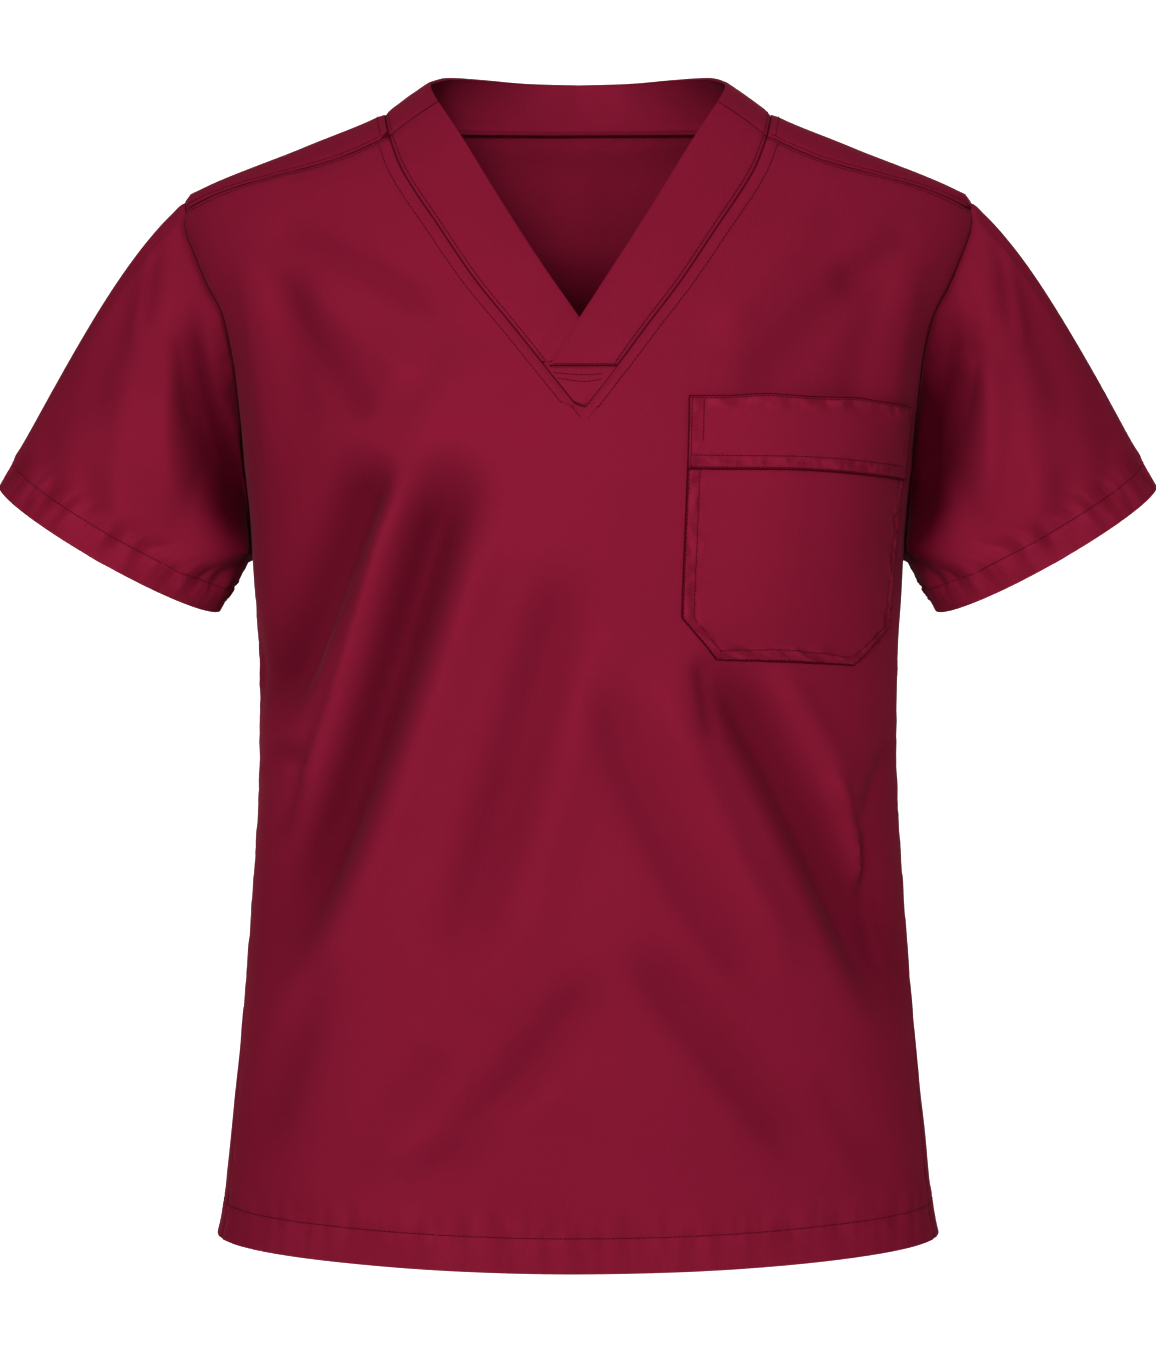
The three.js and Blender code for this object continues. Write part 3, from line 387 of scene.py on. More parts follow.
def hemZ(way):
    return sideHemZ - centreHemDrop * np.cos(np.clip(way, 0, 2) * math.pi / 2) ** 2


bodyShares = spaced(150, 460, 0.42, (0,))
frontShares = spaced(84, 260, 0.3, (0, 1))
backShares = spaced(62, 290, 0.4, (0,))
shoulderCount = 26
upperRows = 62
overRows = 22


def lowerGrid(side, wayAt):
    seam = sideSeamWay(mix(sideHemZ, underarmZ, bodyShares))[:, None]
    way = wayAt(seam)
    z = mix(hemZ(way), underarmZ, bodyShares[:, None])
    return bodyPoints(side, way, z)


def wayAndZ(line, share, back=False):
    x, z = onLine(line, share)
    return [wayOf(x, z, back), z]


def frontInnerEdge(t):
    below = 2 / 12
    above = np.clip((t - below) / (1 - below), 0, 1)
    way, z = wayAndZ(neckSeam, above)
    low = t <= below
    return [np.where(low, 0, way), np.where(low, mix(underarmZ, vPoint[1], t / below), z)]


def frontUpperGrid(side):
    count = upperRows
    t = np.r_[np.linspace(0, 2 / 12, 11), 2 / 12 + 10 / 12 * spaced(count - 10, 200, 0.4, (1,))[1:]]
    armhole = lambda t: wayAndZ(frontArmhole, t)
    ways = patch(
        lambda s: [s, np.full(s.shape, float(underarmZ))],
        lambda s: wayAndZ(shoulderSeam, s),
        frontInnerEdge,
        armhole,
        frontShares,
        t,
    )
    return bodyPoints(side, np.maximum(ways[0], 0), ways[1])


def backTopEdge(s):
    turn = shoulderCount / (len(backShares) - 1)
    low = s <= turn
    x, y = onLine(behindShoulder, np.clip(s / turn, 0, 1))
    z = shoulderZ(x, y)
    start = wayOf(np.array(behindShoulder[-1][0], float), 0.0, True)
    t = np.clip((s - turn) / (1 - turn), 0, 1)
    neckWay, neckZ = mix(start, 2, t), neckRingRise * smooth(0, 1, t)
    return [np.where(low, wayOf(x, z, True), neckWay), np.where(low, z, neckZ)]


def backArmholeEdge(t):
    way, z = wayAndZ(backArmhole, t, True)
    end = backTopEdge(np.array([0.0]))
    last = t >= 1
    return [np.where(last, end[0], way), np.where(last, end[1], z)]


def backUpperGrid(side):
    t = spaced(upperRows, 230, 0.5, (1,))
    evenShares = np.linspace(0, 1, len(backShares))
    ways = patch(
        lambda s: [1 + np.interp(s, evenShares, backShares), np.full(s.shape, float(underarmZ))],
        backTopEdge,
        backArmholeEdge,
        lambda t: [np.full(t.shape, 2.0), mix(underarmZ, neckRingRise, t)],
        evenShares,
        t,
    )
    return bodyPoints(side, ways[0], ways[1])


def overShoulderGrid(side, behind):
    s, t = np.linspace(0, 1, shoulderCount + 1), np.linspace(0, 1, overRows + 1)

    def frontLine(share):
        x, z = onLine(shoulderSeam, 1 - share)
        return [x, -reach(x, z, "front")]

    def tipLine(share):
        x, y = onLine([behindShoulder[0], (242, float(-reach(242, -62, "front")))], share)
        return [x + 1.4 * np.sin(math.pi * share), y]

    x, y = patch(
        lambda share: onLine(behindShoulder, share),
        frontLine,
        tipLine,
        lambda share: onLine(neckOverShoulder, share),
        s,
        t,
    )
    points = np.stack([side * x, y, shoulderZ(x, y)], axis=-1)
    points[0] = behind
    way, z = wayAndZ(shoulderSeam, 1 - s)
    points[-1] = bodyPoints(side, way, z)
    return points


# From grids of points to thin closed shells

made = {}


# Running lengths along the rows and along the columns of a grid
def spans(grid):
    across = np.linalg.norm(np.diff(grid, axis=1), axis=2)
    upward = np.linalg.norm(np.diff(grid, axis=0), axis=2)
    u = np.concatenate([np.zeros((grid.shape[0], 1)), np.cumsum(across, axis=1)], axis=1)
    v = np.concatenate([np.zeros((1, grid.shape[1])), np.cumsum(upward, axis=0)], axis=0)
    return u, v


def gridNormals(grid, flip):
    du, dv = np.gradient(grid, axis=1), np.gradient(grid, axis=0)
    return unit(np.cross(du, dv)) * (-1 if flip else 1)


# Turns a grid so that the named edge becomes its first row
def turned(grid, edge):
    if edge in ("left", "right"):
        grid = grid.swapaxes(0, 1)
    return grid[::-1] if edge in ("top", "right") else grid


def turnedBack(grid, edge):
    grid = grid[::-1] if edge in ("top", "right") else grid
    return grid.swapaxes(0, 1) if edge in ("left", "right") else grid


# How far an edge runs on under its neighbour, and how deep below it
seamAllowance = {"inward": 3.0, "deep": 1.5, "nearInward": 0.3, "nearDeep": 0.9}


# Adds the turned-in seam edge that lies hidden under the next piece, as two rows of points
def tucked(grid, data, edge, flip, rows=None):
    normals = turned(gridNormals(grid, flip), edge)[0]
    grid, data = turned(grid, edge), turned(data, edge)
    if rows is None:
        away = unit(grid[0] - grid[2])
        far = grid[0] + away * seamAllowance["inward"] - normals * seamAllowance["deep"]
        near = grid[0] + away * seamAllowance["nearInward"] - normals * seamAllowance["nearDeep"]
        rows = (far, near)
    grid = np.concatenate([rows[0][None], rows[1][None], grid])
    data = np.concatenate([data[:1], data[:1], data])
    return turnedBack(grid, edge), turnedBack(data, edge)


# Blocks of points that join into one sheet; build() gives it a wall and makes the mesh
class Cloth:
    def __init__(self):
        self.points, self.quads, self.data = [], [], []
        self.count = 0

    # sewn is the distance to the nearest sewn edge at each point, u and v are the weave's lines
    def add(self, grid, flip, sewn, u=None, v=None, tuck=(), paintedShade=0, gather=0):
        own = spans(grid)
        u, v = own[0] if u is None else u, own[1] if v is None else v
        data = np.stack([u + 0 * sewn, v + 0 * sewn, sewn, paintedShade + 0 * sewn, gather + 0 * sewn], -1)
        for edge, rows in tuck:
            grid, data = tucked(grid, data, edge, flip, rows)
        rows, cols = grid.shape[:2]
        index = np.arange(rows * cols).reshape(rows, cols) + self.count
        quads = np.stack([index[:-1, :-1], index[:-1, 1:], index[1:, 1:], index[1:, :-1]], -1)
        quads = quads.reshape(-1, 4)
        self.quads.append(quads[:, ::-1] if flip else quads)
        self.points.append(grid.reshape(-1, 3))
        self.data.append(data.reshape(-1, 5))
        self.count += rows * cols

    def build(self, name, wall, material, flat, inset=0.12, inside=None):
        points, quads = np.concatenate(self.points), np.concatenate(self.quads)
        data = np.concatenate(self.data)
        _, first, back = np.unique(np.round(points, 2), axis=0, return_index=True, return_inverse=True)
        back = back.ravel()
        points, data, quads = points[first], data[first], back[quads]
        normals = np.zeros_like(points)
        corners = points[quads]
        face = np.cross(corners[:, 2] - corners[:, 0], corners[:, 3] - corners[:, 1])
        for k in range(4):
            np.add.at(normals, quads[:, k], face)
        normals = unit(normals)
        edges = np.concatenate([quads[:, [k, (k + 1) % 4]] for k in range(4)])
        edges = edges[edges[:, 0] != edges[:, 1]]
        keys = edges[:, 0] * len(points) + edges[:, 1]
        other = edges[:, 1] * len(points) + edges[:, 0]
        rim = edges[~np.isin(other, keys)]
        pull = np.zeros_like(points)
        lean = unit(points[rim[:, 1]] - points[rim[:, 0]])
        for k in (0, 1):
            np.add.at(pull, rim[:, k], np.cross(normals[rim[:, k]], lean))
        points = points + unit(pull) * inset
        thick = wall(points) if callable(wall) else np.full(len(points), float(wall))
        inner = points - normals * thick[:, None]
        count = len(points)
        sides = np.stack([rim[:, 1], rim[:, 0], rim[:, 0] + count, rim[:, 1] + count], -1)
        faces = np.concatenate([quads, quads[:, ::-1] + count, sides])
        verts = np.concatenate([points, inner]) / 1000
        obj = makeMesh(name, verts, faces, material)
        mesh = obj.data
        values = np.concatenate([data, data])
        values[count:, 2] += 0.7
        if inside is not None:
            values[count:, 3] = inside(inner)
        weaveLines(mesh, values[:, :2] / 1000)
        # column 3 is painted shade for the colour; column 4 sets the puckers' bump and their painted light
        # and shade
        for k, attribute in ((2, "sewn"), (3, "paintedShade"), (4, "gather")):
            keepValues(mesh, attribute, values[:, k])
        mesh.set_sharp_from_angle(angle=math.radians(55))
        area = 0.5 * np.linalg.norm(face, axis=1).sum() / 1e6
        print(f"{name}: {len(faces) * 2} triangles, {area:.4f} square metres of cloth")
        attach(obj, root)
        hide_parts(name)
        whole = flat[0] * flat[1]
        min(area, whole) if area > 0.3 * whole else None
        made[name] = obj
        return obj


def makeMesh(name, verts, faces, material):
    mesh = bpy.data.meshes.new(name)
    same = (faces == np.roll(faces, 1, axis=1)).any(axis=1)
    lists = faces[~same].tolist()
    for quad in faces[same].tolist():
        kept = [p for k, p in enumerate(quad) if p != quad[k - 1]]
        if len(kept) > 2:
            lists.append(kept)
    mesh.from_pydata(verts.tolist(), [], lists)
    mesh.materials.append(material)
    mesh.shade_smooth()
    obj = bpy.data.objects.new(name, mesh)
    bpy.context.scene.collection.objects.link(obj)
    return obj


# The weave's own lines at each point, as a UV map
def weaveLines(mesh, places):
    loops = np.empty(len(mesh.loops), int)
    mesh.loops.foreach_get("vertex_index", loops)
    uv = mesh.uv_layers.new(name="weave")
    uv.data.foreach_set("uv", places[loops].astype(np.float32).ravel())


def keepValues(mesh, attribute, values):
    stored = mesh.attributes.new(attribute, "FLOAT", "POINT")
    stored.data.foreach_set("value", values.astype(np.float32))


# Stitched lines

threads = {"points": [], "faces": []}
holeShades = {"points": [], "faces": []}
threadLine = {
    "pitch": 2.6,
    "long": 1.9,
    "wide": 0.5,
    "uneven": 0.12,
    # share of the stitch's length, height over the cloth, thickness
    "arch": [(0.0, -0.15, 0.55), (0.22, 0.16, 1.0), (0.5, 0.24, 1.05), (0.78, 0.16, 1.0),
             (1.0, -0.15, 0.55)],
    "ring": [(0, 1), (0.95, 0.3), (0.6, -0.8), (-0.6, -0.8), (-0.95, 0.3)],
}
holeShadeSize = {"halfLong": 0.62, "halfWide": 0.4, "edgeLift": 0.05, "sideLift": 0.09}


# The line on a grid at a distance from one edge, with the cloth's outward direction
def lineOf(grid, edge, distance, flip):
    normals = gridNormals(grid, flip)
    if edge in ("left", "right"):
        grid, normals = grid.transpose(1, 0, 2), normals.transpose(1, 0, 2)
    if edge in ("top", "right"):
        grid, normals = grid[::-1], normals[::-1]
    run = spans(grid)[1]
    where = np.array([np.interp(distance, run[:, i], np.arange(len(run))) for i in range(run.shape[1])])
    low = np.minimum(where.astype(int), len(run) - 2)
    part = (where - low)[:, None]
    column = np.arange(run.shape[1])
    points = grid[low, column] * (1 - part) + grid[low + 1, column] * part
    outs = normals[low, column] * (1 - part) + normals[low + 1, column] * part
    return points, outs


# A row of thread stitches along a line of points, each one a small arch of thread
def stitch(line, skip=0.0, seed=1):
    points, outs = line
    pitch, long, wide = threadLine["pitch"], threadLine["long"], threadLine["wide"]
    run = np.r_[0, np.cumsum(np.linalg.norm(np.diff(points, axis=0), axis=1))]
    total = run[-1] - 2 * skip
    if total < pitch:
        return
    starts = skip + np.arange(int(total / pitch)) * pitch
    uneven = threadLine["uneven"]
    jitter = np.random.default_rng(seed).uniform(-uneven, uneven, len(starts))
    shape = threadLine["arch"]
    ring = threadLine["ring"]
    at = lambda place, table: np.stack([np.interp(place, run, table[:, k]) for k in range(3)], -1)
    ahead = unit(at(starts + long, points) - at(starts, points))
    rows = []
    for part, lift, size in shape:
        place = starts + jitter + part * long
        centre, out = at(place, points), unit(at(place, outs))
        aside = np.cross(ahead, out)
        for a, b in ring:
            rows.append(centre + aside * a * size * wide / 2 + out * (lift + b * size * wide / 2))
    verts = np.stack(rows, 1).reshape(-1, 3)
    sides, rings = len(ring), len(shape)
    faces = []
    for r in range(rings - 1):
        low, high = r * sides, (r + 1) * sides
        for k in range(sides):
            nextK = (k + 1) % sides
            faces.append([low + k, low + nextK, high + nextK, high + k])
    faces = np.array(faces)
    each = rings * sides
    start = sum(len(p) for p in threads["points"])
    threads["points"].append(verts)
    for k in range(len(starts)):
        threads["faces"].append(faces + start + k * each)
    paintHoleShades(starts - (pitch - long) / 2, at, points, outs)


# Painted shade in the needle holes between stitches: small dark flat bits just above the cloth
def paintHoleShades(places, at, points, outs):
    half, halfWide = holeShadeSize["halfLong"], holeShadeSize["halfWide"]
    edgeLift, sideLift = holeShadeSize["edgeLift"], holeShadeSize["sideLift"]
    centre, out = at(places, points), unit(at(places, outs))
    ahead = unit(at(places + half, points) - at(places - half, points))
    aside = np.cross(ahead, out)
    rows = []
    for along, across, lift in ((-1, 0, edgeLift), (0, -1, sideLift), (1, 0, edgeLift), (0, 1, sideLift)):
        rows.append(centre + ahead * along * half + aside * across * halfWide + out * lift)
    base = sum(len(p) for p in holeShades["points"])
    holeShades["points"].append(np.stack(rows, 1).reshape(-1, 3))
    holeShades["faces"].append(np.arange(len(places))[:, None] * 4 + base + np.arange(4))


# Shaders


# One socket of a node tree, with arithmetic that adds the nodes for it
class Socket:
    def __init__(self, maker, socket):
        self.maker, self.socket = maker, socket

    def math(self, kind, *others):
        return self.maker.node("ShaderNodeMath", {"operation": kind}, [self, *others])

    def __add__(self, other):
        return self.math("ADD", other)

    def __radd__(self, other):
        return self.math("ADD", other)

    def __sub__(self, other):
        return self.math("SUBTRACT", other)

    def __rsub__(self, other):
        return self.maker.node("ShaderNodeMath", {"operation": "SUBTRACT"}, [other, self])

    def __mul__(self, other):
        return self.math("MULTIPLY", other)

    def __rmul__(self, other):
        return self.math("MULTIPLY", other)

    def __truediv__(self, other):
        return self.math("DIVIDE", other)

    def __rtruediv__(self, other):
        return self.maker.node("ShaderNodeMath", {"operation": "DIVIDE"}, [other, self])

    def ramp(self, low, high):
        settings = {"interpolation_type": "SMOOTHSTEP"}
        return self.maker.node("ShaderNodeMapRange", settings, [self, low, high, 0.0, 1.0])


# Makes a material and its nodes
class Maker:
    def __init__(self, name):
        self.material = bpy.data.materials.new(name)
        self.material.use_nodes = True
        self.tree = self.material.node_tree
        self.tree.nodes.clear()
        self.output = self.tree.nodes.new("ShaderNodeOutputMaterial")

    def node(self, kind, settings=None, inputs=(), out=0):
        node = self.tree.nodes.new(kind)
        for key, value in (settings or {}).items():
            setattr(node, key, value)
        pairs = inputs.items() if isinstance(inputs, dict) else enumerate(inputs)
        for key, value in pairs:
            if isinstance(value, Socket):
                self.tree.links.new(value.socket, node.inputs[key])
            else:
                node.inputs[key].default_value = value
        return Socket(self, node.outputs[out])

    def blend(self, share, a, b):
        settings = {"data_type": "RGBA", "blend_type": "MIX"}
        return self.node("ShaderNodeMix", settings, {0: share, 6: a, 7: b}, out=2)


def clothMaterial(name, look):
    maker = Maker(name)
    uv = maker.node("ShaderNodeUVMap", {"uv_map": "weave"})
    place = maker.node("ShaderNodeTexCoord", out=3)
    weave = {"operation": "MULTIPLY"}
    threadsAcross = maker.node("ShaderNodeVectorMath", weave, [uv, (1 / look["twill"],) * 3])
    split = maker.node("ShaderNodeSeparateXYZ", {}, [threadsAcross])
    across, upward = (Socket(maker, split.socket.node.outputs[k]) for k in (0, 1))
    slope = (across + upward * 0.6) * (2 * math.pi)
    ribs = slope.math("SINE") * 0.5 + 0.5
    fine = maker.node("ShaderNodeTexNoise", {}, {"Vector": uv, "Scale": look["slubScale"], "Detail": 3.0})
    broadInputs = {"Vector": place, "Scale": look["broadScale"], "Detail": 2.0}
    broad = maker.node("ShaderNodeTexNoise", {}, broadInputs)
    sewn = maker.node("ShaderNodeAttribute", {"attribute_name": "sewn"}, out=2)
    # Painted shade: a thin dark line along each sewn edge, where the seam's groove lies in shade
    seamGrooveShadeMask = 1.0 - sewn.ramp(*look["seamShade"])
    small = maker.node("ShaderNodeTexNoise", {}, {"Vector": uv, "Scale": look["smallScale"], "Detail": 1.0})
    worn = sewn.ramp(*look["wornStart"]) * (1.0 - sewn.ramp(*look["wornEnd"]))
    paintedShade = maker.node("ShaderNodeAttribute", {"attribute_name": "paintedShade"}, out=2)
    gather = maker.node("ShaderNodeAttribute", {"attribute_name": "gather"}, out=2)
    stretch = maker.node("ShaderNodeVectorMath", weave, [uv, look["gatherStretch"]])
    drawnInputs = {"Vector": stretch, "Scale": look["gatherScale"], "Detail": 1.0}
    drawn = maker.node("ShaderNodeTexNoise", {}, drawnInputs).ramp(0.3, 0.7) - 0.5
    tone = ribs * look["ribTone"] + fine * look["slubTone"] + broad * look["broadTone"]
    # Painted light and shade of the puckers: the colour goes lighter and darker with the same noise that
    # bumps them
    tone = tone + drawn * gather * look["puckerPaintedShading"]
    flatColour = maker.blend(tone, look["dark"], look["light"])
    # Painted shade: the colour is mixed toward the deep shade colour in troughs, beside the armpits and on
    # the inside, and in a thin line along the seams' grooves
    shade = (paintedShade * look["paintedShadeStrength"]).math("MAXIMUM", seamGrooveShadeMask * look["seamGrooveShade"])
    colour = maker.blend(shade, flatColour, look["deep"])
    height = ribs * look["ribHeight"] + fine * look["slubHeight"] + small * worn * look["puckerHeight"]
    height = height + drawn * gather * look["gatherHeight"]
    bump = maker.node(
        "ShaderNodeBump", {}, {"Strength": look["bump"], "Distance": 0.001, "Height": height}
    )
    rough = fine * 0.12 + look["rough"]
    inputs = {
        "Base Color": colour,
        "Roughness": rough,
        "Normal": bump,
        "Metallic": look["metallic"],
        "Specular IOR Level": look["specular"],
        "Specular Tint": look["tint"],
        "IOR": look["refraction"],
        "Sheen Weight": look["sheen"],
        "Sheen Roughness": look["sheenRough"],
        "Sheen Tint": look["sheenTint"],
    }
    shader = maker.node("ShaderNodeBsdfPrincipled", {}, inputs)
    maker.tree.links.new(shader.socket, maker.output.inputs[0])
    return maker.material


clothLook = {
    "twill": 0.0009,
    "slubScale": 520.0,
    "broadScale": 9.0,
    "smallScale": 190.0,
    "wornStart": (1.5, 3.5),
    "wornEnd": (8.0, 20.0),
    "ribTone": 0.22,
    "slubTone": 0.35,
    "broadTone": 0.35,
    "dark": (0.138, 0.0050, 0.0180, 1),
    "light": (0.216, 0.0095, 0.0350, 1),
    "ribHeight": 0.10,
    "slubHeight": 0.16,
    "puckerHeight": 0.45,
    "gatherScale": 95.0,
    "gatherStretch": (1.0, 0.22, 1.0),
    # how strongly the puckers' light and shade are painted into the colour
    "puckerPaintedShading": 0.8,
    "gatherHeight": 2.4,
    # how far from a sewn edge, and how strongly, the painted shade of a seam's groove reaches
    "seamShade": (0.1, 1.0),
    "seamGrooveShade": 0.85,
    "paintedShadeStrength": 0.5,
    # the colour that the painted shade mixes toward
    "deep": (0.040, 0.0008, 0.005, 1),
    "metallic": 0.14,
    "bump": 0.5,
    "rough": 0.5,
    "specular": 0.0,
    "tint": (0.75, 0.2, 0.3, 1),
    "refraction": 1.2,
    "sheen": 0.04,
    "sheenRough": 0.38,
    "sheenTint": (1.0, 0.35, 0.5, 1),
}
bandLook = dict(clothLook, rough=0.48, puckerHeight=0.3)
threadLook = dict(clothLook, dark=(0.090, 0.003, 0.011, 1), light=(0.135, 0.005, 0.018, 1), rough=0.5)
# The pocket's edges get a wider, darker line of painted shadow, where the pocket stands off the panel
pocketLook = dict(clothLook, seamShade=(0.7, 1.7), seamGrooveShade=0.95, gatherStretch=(1.0, 0.8, 1.0))
# the dark colour of the painted shade in the needle holes
holeShadeLook = dict(clothLook, dark=(0.020, 0.0006, 0.003, 1), light=(0.035, 0.0010, 0.005, 1), rough=0.8)
clothSkin = clothMaterial("wine_cloth", clothLook)
bandSkin = clothMaterial("wine_band_cloth", bandLook)
pocketSkin = clothMaterial("wine_pocket_cloth", pocketLook)
threadSkin = clothMaterial("wine_thread", threadLook)
holeShadeSkin = clothMaterial("needle_hole_shade", holeShadeLook)


# The pieces

# How the painted shade inside the back panel grows low down and to the sides
insideLook = {"heights": (-50, -125), "widths": (34, 100), "low": 2.3, "wide": 0.3}
neckStitch = {"beside": 7.6, "below": 10}  # from the V's edge, and under its tip
clothWall = 0.8
turnedHem = 0.9  # what the turned-in layer adds to the wall
bandWall = 1.8
bandWide = 0.036
insetWall = 1.4
insetFlat = (0.045, 0.036)


# A rounded rise, 1 high in its middle
def bump(distance, centre, width):
    return np.exp(-(((distance - centre) / width) ** 2))


# The cloth dips into a seam and stands up a little beside it
def seamRoll(distance, deep=0.55, reachOut=2.2):
    return -deep * bump(distance, 0, reachOut) + 0.45 * deep * bump(distance, 5.5, 3.2)


def bodyWall(points):
    way = np.where(points[:, 1] > 0, 1.5, wayOf(points[:, 0], points[:, 2], False))
    above = points[:, 2] - hemZ(way)
    return clothWall + turnedHem * (1 - smooth(hemDepth - 0.5, hemDepth + 1.5, above))


# Moves a grid's points out for seam rolls, puckers and a hem's stitched groove
def dressed(grid, flip, along, seams, seed, hemmed=None):
    normals = gridNormals(grid, flip)
    lift = np.zeros(grid.shape[:2])
    for distance in seams:
        lift += seamRoll(distance)
        lift += 0.35 * pucker(along, seed) * bump(distance, 5, 5)
    if hemmed is not None:
        lift += -0.5 * bump(hemmed, hemDepth, 1.6)
        lift += 0.5 * pucker(along, seed + 3, 11.0) * bump(hemmed, hemDepth + 3, 9)
        lift += 0.4 * pucker(along, seed + 4, 8.0) * bump(hemmed, 11, 7)
    return grid + normals * lift[..., None]


grids = {}


# How much the cloth is drawn up along the stitching of a hem; this sets the puckers' bump and their painted
# light and shade
def gatherOf(fromEdge):
    return 0.5 * bump(fromEdge, hemDepth + 4, 9) + 0.25 * smooth(hemDepth + 3, hemDepth - 3, fromEdge)


# An edge's points, with the way into the panel and the panel's outward direction
def edgeWithPanel(grid, edge, inner, flip):
    into = unit(grid[:, inner] - grid[:, edge])
    return np.concatenate([grid[:, edge], into, gridNormals(grid, flip)[:, edge]], axis=1)


def buildFront():
    cloth = Cloth()
    for side in (1, -1):
        flip = side < 0
        low = lowerGrid(side, lambda seam: seam * frontShares[None, :])
        high = frontUpperGrid(side)
        whole = np.concatenate([low, high[1:]])
        u, v = spans(whole)
        fromSide = u[:, -1:] - u
        fromHem = v
        rowsBelow = len(bodyShares) + 10
        split = np.arange(len(whole)) > rowsBelow
        fromTip = np.hypot(u, whole[..., 2] - whole[rowsBelow, 0, 2])
        fromNeck = np.where(split[:, None], u, fromTip)
        fromShoulder = v[-1:] - v
        seams = [fromSide, fromNeck, fromShoulder]
        whole = dressed(whole, flip, u + v, seams, 11 + side, fromHem)
        centre = np.arange(len(whole)) <= rowsBelow
        whole[centre, 0, 0] = grids.setdefault("centre", whole[centre, 0, :].copy())[:, 0]
        whole[centre, 0, :] = grids["centre"]
        sewn = np.minimum(np.minimum(fromSide, fromNeck), fromShoulder)
        paintedShade = troughShadeOf(frontFolds, whole)
        gather = gatherOf(fromHem)
        cloth.add(whole, flip, sewn, side * u, whole[..., 2], [("top", None)], paintedShade, gather)
        grids[("front", side)] = whole
        upper = whole[len(bodyShares) - 1 :]
        neck = whole[rowsBelow:]
        hemLine = lineOf(whole, "bottom", hemDepth, flip)
        stitch(hemLine, seed=21)
        stitch(lineOf(neck, "left", neckStitch["beside"], flip), seed=22)
        run = np.linspace(1, 0, 9)
        dropped = neck[0, 0, 2] - neckStitch["below"] * (1 - run)
        below = onFront(vPoint[0] + side * neckStitch["beside"] * run, dropped)
        stitch((below, np.tile([0.0, -1.0, 0.0], (len(run), 1))), seed=24)
        stitch(lineOf(upper, "top", 3.0, flip), seed=23)
        grids[("armholeFront", side)] = edgeWithPanel(upper, -1, -5, flip)
        grids[("neckFront", side)] = neck[:, 0]
    width = 2 * spans(grids[("front", 1)])[0][0, -1] / 1000
    length = spans(grids[("front", 1)])[1][-1, 20] / 1000
    cloth.build("front_panel", bodyWall, clothSkin, (width, length))


# Painted shade on the inside of the back panel, seen through the neck: darker low down and to the sides
def insideShade(points):
    low = smooth(*insideLook["heights"], points[:, 2])
    wide = smooth(*insideLook["widths"], np.abs(points[:, 0]))
    return insideLook["low"] * low + insideLook["wide"] * wide * (1 - low)


def buildBack():
    cloth = Cloth()
    for side in (1, -1):
        flip = side < 0
        low = lowerGrid(side, lambda seam: mix(seam, 2, backShares[None, :]))
        high = backUpperGrid(side)
        whole = np.concatenate([low, high[1:]])
        over = overShoulderGrid(side, whole[-1, : shoulderCount + 1])
        u, v = spans(whole)
        overU, overV = spans(over)
        neckRows = v[-1:] - v
        fromNeck = np.where(np.arange(len(backShares))[None, :] >= shoulderCount, neckRows, 99.0)
        overNeck = overU[:, -1:] - overU
        seams = [u, fromNeck]
        folded = dressed(whole, flip, u + v, seams, 31 + side, v)
        if side > 0:
            grids["backCentre"] = folded[:, -1].copy()
        folded[:, -1] = grids["backCentre"]
        over = dressed(over, flip, overU, [overU, overNeck, overV[-1:] - overV], 35)
        folded[-1, : shoulderCount + 1] = (folded[-1, : shoulderCount + 1] + over[0]) / 2
        over[0] = folded[-1, : shoulderCount + 1]
        sewn = np.minimum(u, fromNeck)
        overSewn = np.minimum(np.minimum(overU, overNeck), overV[-1:] - overV)
        low = len(bodyShares)
        tuck = [("left", None)]
        paintedShade, across = troughShadeOf(backFolds, folded), side * (u[:, -1:] - u)
        near, heights = gatherOf(v[:low]), folded[:low, :, 2]
        cloth.add(folded[:low], flip, sewn[:low], across[:low], heights, tuck, paintedShade[:low], near)
        up = slice(low - 1, None)
        cloth.add(folded[up], flip, sewn[up], across[up], folded[up, :, 2], paintedShade=paintedShade[up])
        at = slice(0, shoulderCount + 1)
        cloth.add(over, flip, overSewn, across[-1:, at] + 0 * overU, folded[-1:, at, 2] + overV)
        grids[("back", side)] = folded
        stitch(lineOf(folded, "bottom", hemDepth, flip), seed=41)
        stitch(lineOf(over, "top", 3.0, flip), seed=42)
        stitch(lineOf(folded[:, shoulderCount:], "top", 5.0, flip), seed=43)
        stitch(lineOf(over, "right", 5.0, flip), seed=44)
        upper = edgeWithPanel(folded[len(bodyShares) - 1 :], 0, 4, flip)
        topEdge = edgeWithPanel(over, 0, 4, flip)
        grids[("armholeBack", side)] = np.concatenate([upper, topEdge[1:]])
        neckBack = folded[-1, shoulderCount:][::-1]
        grids[("neckBack", side)] = np.concatenate([neckBack, over[1:, -1]])
    width = 2 * spans(grids[("back", 1)])[0][0, -1] / 1000
    length = (spans(grids[("back", 1)])[1][-1, 10] + 60) / 1000
    cloth.build(
        "back_panel", bodyWall, clothSkin, (width, length), inside=insideShade
    )


def resample(points, count):
    run = np.r_[0, np.cumsum(np.linalg.norm(np.diff(points[:, :3], axis=0), axis=1))]
    at = np.linspace(0, run[-1], count)
    return np.stack([np.interp(at, run, points[:, k]) for k in range(points.shape[1])], -1)


